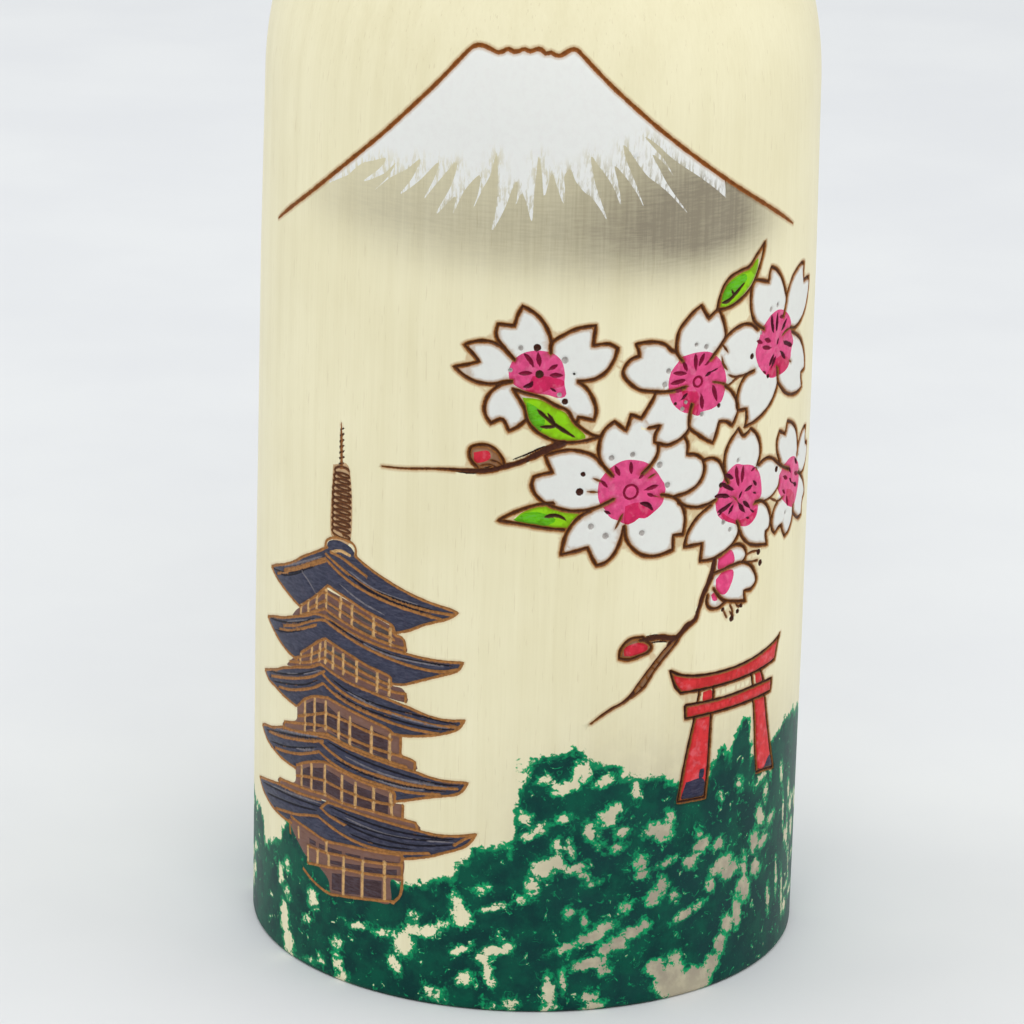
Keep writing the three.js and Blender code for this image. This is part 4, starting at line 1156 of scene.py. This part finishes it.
def drawn(g, base, streak, dry=None):
    """Paint and burnt lines over a colour. Returns the colour, how much paint and how much line there is."""
    paint = g.attribute("paint")
    brushed = g.noise((1.4, 1.4, 1.1), 3.0, 0.6)
    cover = g.math("MULTIPLY", paint.outputs["Alpha"], g.ramp(g.noise(2.6, 4.0, 0.7), 0.22, 0.34, 0.93, 1.0), clamp=True)
    # Strong colours vary more than white, from thin and bright to thick and deep.
    split = g.tree.nodes.new("ShaderNodeSeparateColor")
    g.put(split.inputs[0], paint.outputs["Color"])
    strong = g.ramp(g.math("SUBTRACT", split.outputs[0], split.outputs[1]), 0.15, 0.5, 0.1, 1.0)
    tone = g.mix(g.math("MULTIPLY", g.ramp(brushed, 0.4, 0.7, 0.0, 0.42), strong), paint.outputs["Color"], g.mix(0.8, paint.outputs["Color"], srgb(178, 120, 140), "MULTIPLY"))
    tone = g.mix(g.math("MULTIPLY", g.ramp(g.noise(1.1, 2.0), 0.5, 0.72, 0.0, 0.22), strong), tone, g.mix(0.5, tone, srgb(250, 200, 215)))
    dark = g.ramp(split.outputs[0], 0.08, 0.3, 1.0, 0.0)
    dusty = g.noise((1.1, 1.1, 4.0), 4.0, 0.7)
    tone = g.mix(g.math("MULTIPLY", g.ramp(dusty, 0.46, 0.72, 0.0, 0.38), dark), tone, g.mix(0.5, tone, srgb(120, 122, 138)))
    tone = g.mix(g.math("MULTIPLY", g.ramp(dusty, 0.3, 0.5, 0.6, 0.0), dark), tone, g.mix(0.8, tone, srgb(110, 100, 110), "MULTIPLY"))
    if dry is not None:
        # The brush runs dry towards the points of the snow.
        bristle = g.noise((2.6, 2.6, 0.55), 3.0, 0.7)
        cover = g.math("MULTIPLY", cover, g.math("SUBTRACT", 1.0, g.math("MULTIPLY", g.math("POWER", dry, 1.5), g.ramp(bristle, 0.46, 0.60, 0.0, 0.85))), clamp=True)
    colour = g.mix(cover, base, tone)
    line = g.attribute("line")
    edge = g.math("ADD", g.attribute("edge").outputs["Fac"], g.math("MULTIPLY_ADD", g.noise(3.5, 3.0), 0.12, -0.06))
    scorch = line.outputs["Alpha"]
    halo = g.math("MULTIPLY", g.ramp(edge, 0.0, 0.34, 0.78, 0.0), scorch)
    colour = g.mix(halo, colour, g.mix(0.85, colour, srgb(186, 128, 58), "MULTIPLY"))
    inside_line = g.ramp(edge, -0.06, 0.035, 1.0, 0.0)
    rust = g.math("MULTIPLY", g.ramp(edge, -0.19, -0.05, 0.0, 0.9), scorch)
    core = g.mix(rust, line.outputs["Color"], srgb(156, 98, 40))
    core = g.mix(g.ramp(g.noise(2.8, 2.0), 0.35, 0.7, 0.0, 0.35), core, srgb(30, 14, 10))
    colour = g.mix(inside_line, colour, core)
    return colour, cover, inside_line


g = Nodes("kokeshi_body")
base, fibre, streak = pale_wood(g)
haze = g.math("MULTIPLY", g.attribute("haze").outputs["Fac"], g.ramp(g.math("MULTIPLY_ADD", g.noise((0.5, 0.5, 4.5), 3.0, 0.6), 0.5, g.math("MULTIPLY", streak, 0.5)), 0.3, 0.7, 0.86, 1.1), clamp=True)
base = g.mix(g.math("MULTIPLY", haze, 0.86), base, srgb(116, 106, 92))
speck = g.noise(0.5, 4.0, 0.6)
ochre = g.math("MULTIPLY", g.attribute("ochre").outputs["Fac"], g.ramp(speck, 0.3, 0.6, 0.7, 1.0))
base = g.mix(ochre, base, srgb(160, 150, 132))

# Leaves dabbed on with a sponge: ragged edges, small bare specks, a bright rim and a dark overlay.
dab, crumb, fleck = g.noise(0.42, 3.0, 0.6, warp=0.6), g.noise(1.5, 3.0, 0.65, warp=0.4), g.noise(4.2, 2.0, 0.6)
ragged = g.math("ADD", g.math("MULTIPLY_ADD", dab, 2.8, -1.4), g.math("MULTIPLY_ADD", crumb, 2.0, -1.0))
top = g.math("ADD", g.attribute("leaf_depth").outputs["Fac"], ragged)
bare = g.math("ADD", g.math("MINIMUM", g.attribute("leaf_gap").outputs["Fac"], 1.15), g.math("ADD", g.math("MULTIPLY_ADD", crumb, 3.0, -1.72), g.math("MULTIPLY_ADD", fleck, 0.6, -0.3)))
field = g.math("MINIMUM", top, g.math("MULTIPLY", bare, -1.0))
field = g.math("MINIMUM", field, g.math("MULTIPLY_ADD", g.noise(0.95, 3.0, 0.7, warp=0.8), -7.5, 5.3))
leaf = g.ramp(field, -0.10, 0.16)
rim = g.ramp(field, 0.15, 0.9, 1.0, 0.0)
deep_tone = g.mix(g.ramp(g.noise(0.3, 4.0, 0.6), 0.36, 0.64), srgb(0, 80, 62), srgb(0, 54, 51))
shade = g.math("MULTIPLY", g.attribute("ochre").outputs["Fac"], g.ramp(g.noise(0.22, 3.0), 0.42, 0.6, 0.0, 0.75))
deep_tone = g.mix(shade, deep_tone, srgb(10, 56, 56))
green = g.mix(g.math("MULTIPLY", rim, g.ramp(dab, 0.35, 0.65, 0.55, 1.0)), deep_tone, srgb(12, 160, 98))
green = g.mix(g.ramp(fleck, 0.5, 0.75, 0.0, 0.14), green, srgb(10, 104, 80))
base = g.mix(leaf, base, green)
colour, cover, inside_line = drawn(g, base, streak, g.attribute("dry").outputs["Fac"])
rough = g.math("ADD", g.math("MULTIPLY_ADD", streak, 0.10, 0.37), g.math("MULTIPLY", leaf, 0.05))
rough = g.math("MULTIPLY_ADD", cover, -0.06, rough)
rough = g.math("MULTIPLY_ADD", inside_line, 0.18, rough)
height = g.math("MULTIPLY", fibre, g.math("MULTIPLY_ADD", cover, -0.7, 1.0))
normal = g.bump(height, 0.25, 0.00005)
normal = g.bump(leaf, 0.35, 0.00003, normal)
normal = g.bump(g.noise(2.2, 2.0), g.math("MULTIPLY", cover, 0.35), 0.00005, normal)
body_finish = g.finish(colour, rough, normal, Specular_IOR_Level=0.05, Coat_Weight=0.16, Coat_Roughness=0.22)

g = Nodes("kokeshi_head")
base, fibre, streak = pale_wood(g, (243, 234, 200), (228, 216, 176), (52.0, -58.0))
pinch = g.math("MULTIPLY", g.attribute("flush").outputs["Fac"], g.ramp(g.noise(3.0, 3.0), 0.25, 0.7, 0.42, 0.6))
base = g.mix(pinch, base, srgb(232, 140, 124))
colour, cover, inside_line = drawn(g, base, streak)
rough = g.math("MULTIPLY_ADD", inside_line, 0.1, g.math("MULTIPLY_ADD", streak, 0.10, 0.36))
head_finish = g.finish(colour, rough, g.bump(fibre, 0.25, 0.00005), Specular_IOR_Level=0.2)

g = Nodes("hair_lacquer")
comb = g.attribute("comb").outputs["Fac"]
streaky = g.noise((1.2, 1.2, 0.1), 3.0, 0.6)
colour = g.mix(g.ramp(streaky, 0.3, 0.7), srgb(18, 13, 12), srgb(34, 25, 22))
# Darker down in the comb grooves: painted shade.
colour = g.mix(g.ramp(comb, 0.03, 0.12, 0.0, 0.75), colour, srgb(16, 11, 11))
wear = g.math("MULTIPLY", g.ramp(g.attribute("rim").outputs["Fac"], 0.15, 0.9, 1.0, 0.0), g.ramp(g.noise(0.8, 4.0, 0.7), 0.48, 0.62, 0.0, 0.5))
colour = g.mix(wear, colour, srgb(96, 66, 48))
rough = g.math("MULTIPLY_ADD", streaky, 0.16, 0.20)
hair_finish = g.finish(colour, rough, g.bump(g.noise(0.9, 3.0), 0.25, 0.00012), Specular_IOR_Level=0.25, Coat_Weight=0.32, Coat_Roughness=0.08)


def peg_finish(name, light, dark, seed):
    g = Nodes(name)
    at = g.vector("ADD", g.mm, (seed, seed * 0.7, 0.0))
    ring = g.vector("LENGTH", g.vector("MULTIPLY", g.vector("ADD", g.mm, (2.4, 1.5, 0.0)), (1.0, 1.0, 0.02)))
    rings = g.ramp(g.math("SINE", g.math("MULTIPLY_ADD", g.noise((0.3, 0.3, 0.03), 2.0, at=at), 5.0, g.math("MULTIPLY", ring, 6.5))), -0.6, 1.0)
    fine = g.noise((4.0, 4.0, 0.25), 4.0, 0.65, at=at)
    tone = g.math("MULTIPLY_ADD", fine, 0.7, g.math("MULTIPLY", rings, 0.45))
    colour = g.mix(g.ramp(tone, 0.3, 0.9), srgb(*light), srgb(*dark))
    flecks = g.ramp(g.noise((2.6, 2.6, 0.5), 2.0, at=at), 0.62, 0.72, 0.0, 0.5)
    colour = g.mix(flecks, colour, srgb(150, 104, 64))
    return g.finish(colour, g.math("MULTIPLY_ADD", fine, 0.2, 0.5), g.bump(fine, 0.3, 0.00008))


dowel_finish = peg_finish("dowel_beech", (214, 178, 132), (188, 146, 98), 5.0)
plug_finish = peg_finish("plug_birch", (222, 200, 158), (196, 168, 120), 13.0)

g = Nodes("studio_paper")
speck = g.noise(0.02, 3.0)
floor_finish = g.finish(g.mix(g.ramp(speck, 0.3, 0.7), srgb(214, 216, 218), srgb(218, 220, 221)), g.math("MULTIPLY_ADD", speck, 0.1, 0.55), Specular_IOR_Level=0.0)

# ------------------------------------------------------------------ pieces on the frame
for ob, finish, owner, node, label in (
    (body, body_finish, "standing_body", "body", "body_wood"),
    (head, head_finish, "turning_head", "head", "head_wood"),
    (hair, hair_finish, "turning_head", "hair_cap", "hair_lacquer"),
):
    ob.data.materials.append(finish)
    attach(ob, owner)
    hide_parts(node)
for node, finish, label in (("neck_dowel", dowel_finish, "dowel_wood"), ("base_plug", plug_finish, "plug_wood")):
    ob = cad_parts[node]
    for s in ob.material_slots:
        s.material = finish
    if not ob.material_slots:
        ob.data.materials.append(finish)

# ------------------------------------------------------------------ floor, light and camera
sweep = [(1, 0), (400, 0), (900, 0), (1600, 0), (2300, 0)] + [(2300 + 900 * math.sin(a), 900 * (1 - math.cos(a))) for a in np.linspace(0.08, PI / 2, 18)] + [(3200, 1000)]
rows = revolve(sweep, 96)
rows[:, 2] -= 0.0
quads = rows_to_faces(len(sweep), 96)[:, ::-1]
middle = np.stack([np.arange(96), (np.arange(96) + 1) % 96, np.full(96, len(rows))], 1)
floor = make_mesh("studio_floor", np.vstack([rows, [[0, 0, 0]]]), [quads, middle])
floor.data.materials.append(floor_finish)

world = bpy.data.worlds.new("studio")
bpy.context.scene.world = world
world.use_nodes = True
sky = world.node_tree.nodes["Background"]
sky.inputs[0].default_value = (*srgb(246, 247, 248), 1)
sky.inputs[1].default_value = 0.86


def softbox(name, place, at, size, power, colour=(1, 1, 1)):
    """A soft rectangular light at place, facing at, in mm."""
    data = bpy.data.lights.new(name, "AREA")
    data.shape, data.size, data.size_y = "RECTANGLE", size[0] * MM, size[1] * MM
    data.energy, data.color = power, colour
    ob = bpy.data.objects.new(name, data)
    bpy.context.scene.collection.objects.link(ob)
    ob.location = Vector(place) * MM
    ob.rotation_euler = (Vector(at) - Vector(place)).to_track_quat("-Z", "Y").to_euler()
    ob.visible_camera = False
    return ob


softbox("right_box", (600, -70, 500), (0, 0, 60), (560, 480), 1.2, (1.0, 0.99, 0.97))
softbox("left_box", (-620, 30, 500), (0, 0, 60), (560, 480), 1.25, (0.97, 0.98, 1.0))
softbox("front_top", (60, -700, 820), (0, 0, 60), (700, 500), 3.0)
softbox("back_top", (-100, 700, 760), (0, 0, 80), (800, 500), 1.5)

TILT, ROLL, LOOK, AWAY = math.radians(18.2291), math.radians(1.4548), Vector((-2.1432, 0, 46.1444)), 540.0
ahead = Vector((0, math.cos(TILT), -math.sin(TILT)))
right = Vector((1, 0, 0))
up = right.cross(ahead)
right, up = math.cos(ROLL) * right + math.sin(ROLL) * up, -math.sin(ROLL) * right + math.cos(ROLL) * up
lens = bpy.data.cameras.new("photo_view")
lens.lens, lens.sensor_width, lens.clip_end = 4947.3 / 1024 * 36, 36, 50
camera = bpy.data.objects.new("photo_view", lens)
bpy.context.scene.collection.objects.link(camera)
place = (LOOK - AWAY * ahead) * MM
camera.matrix_world = Matrix([[right[i], up[i], -ahead[i], place[i]] for i in range(3)] + [[0, 0, 0, 1]])
bpy.context.scene.camera = camera
bpy.context.scene.view_settings.view_transform = "Standard"
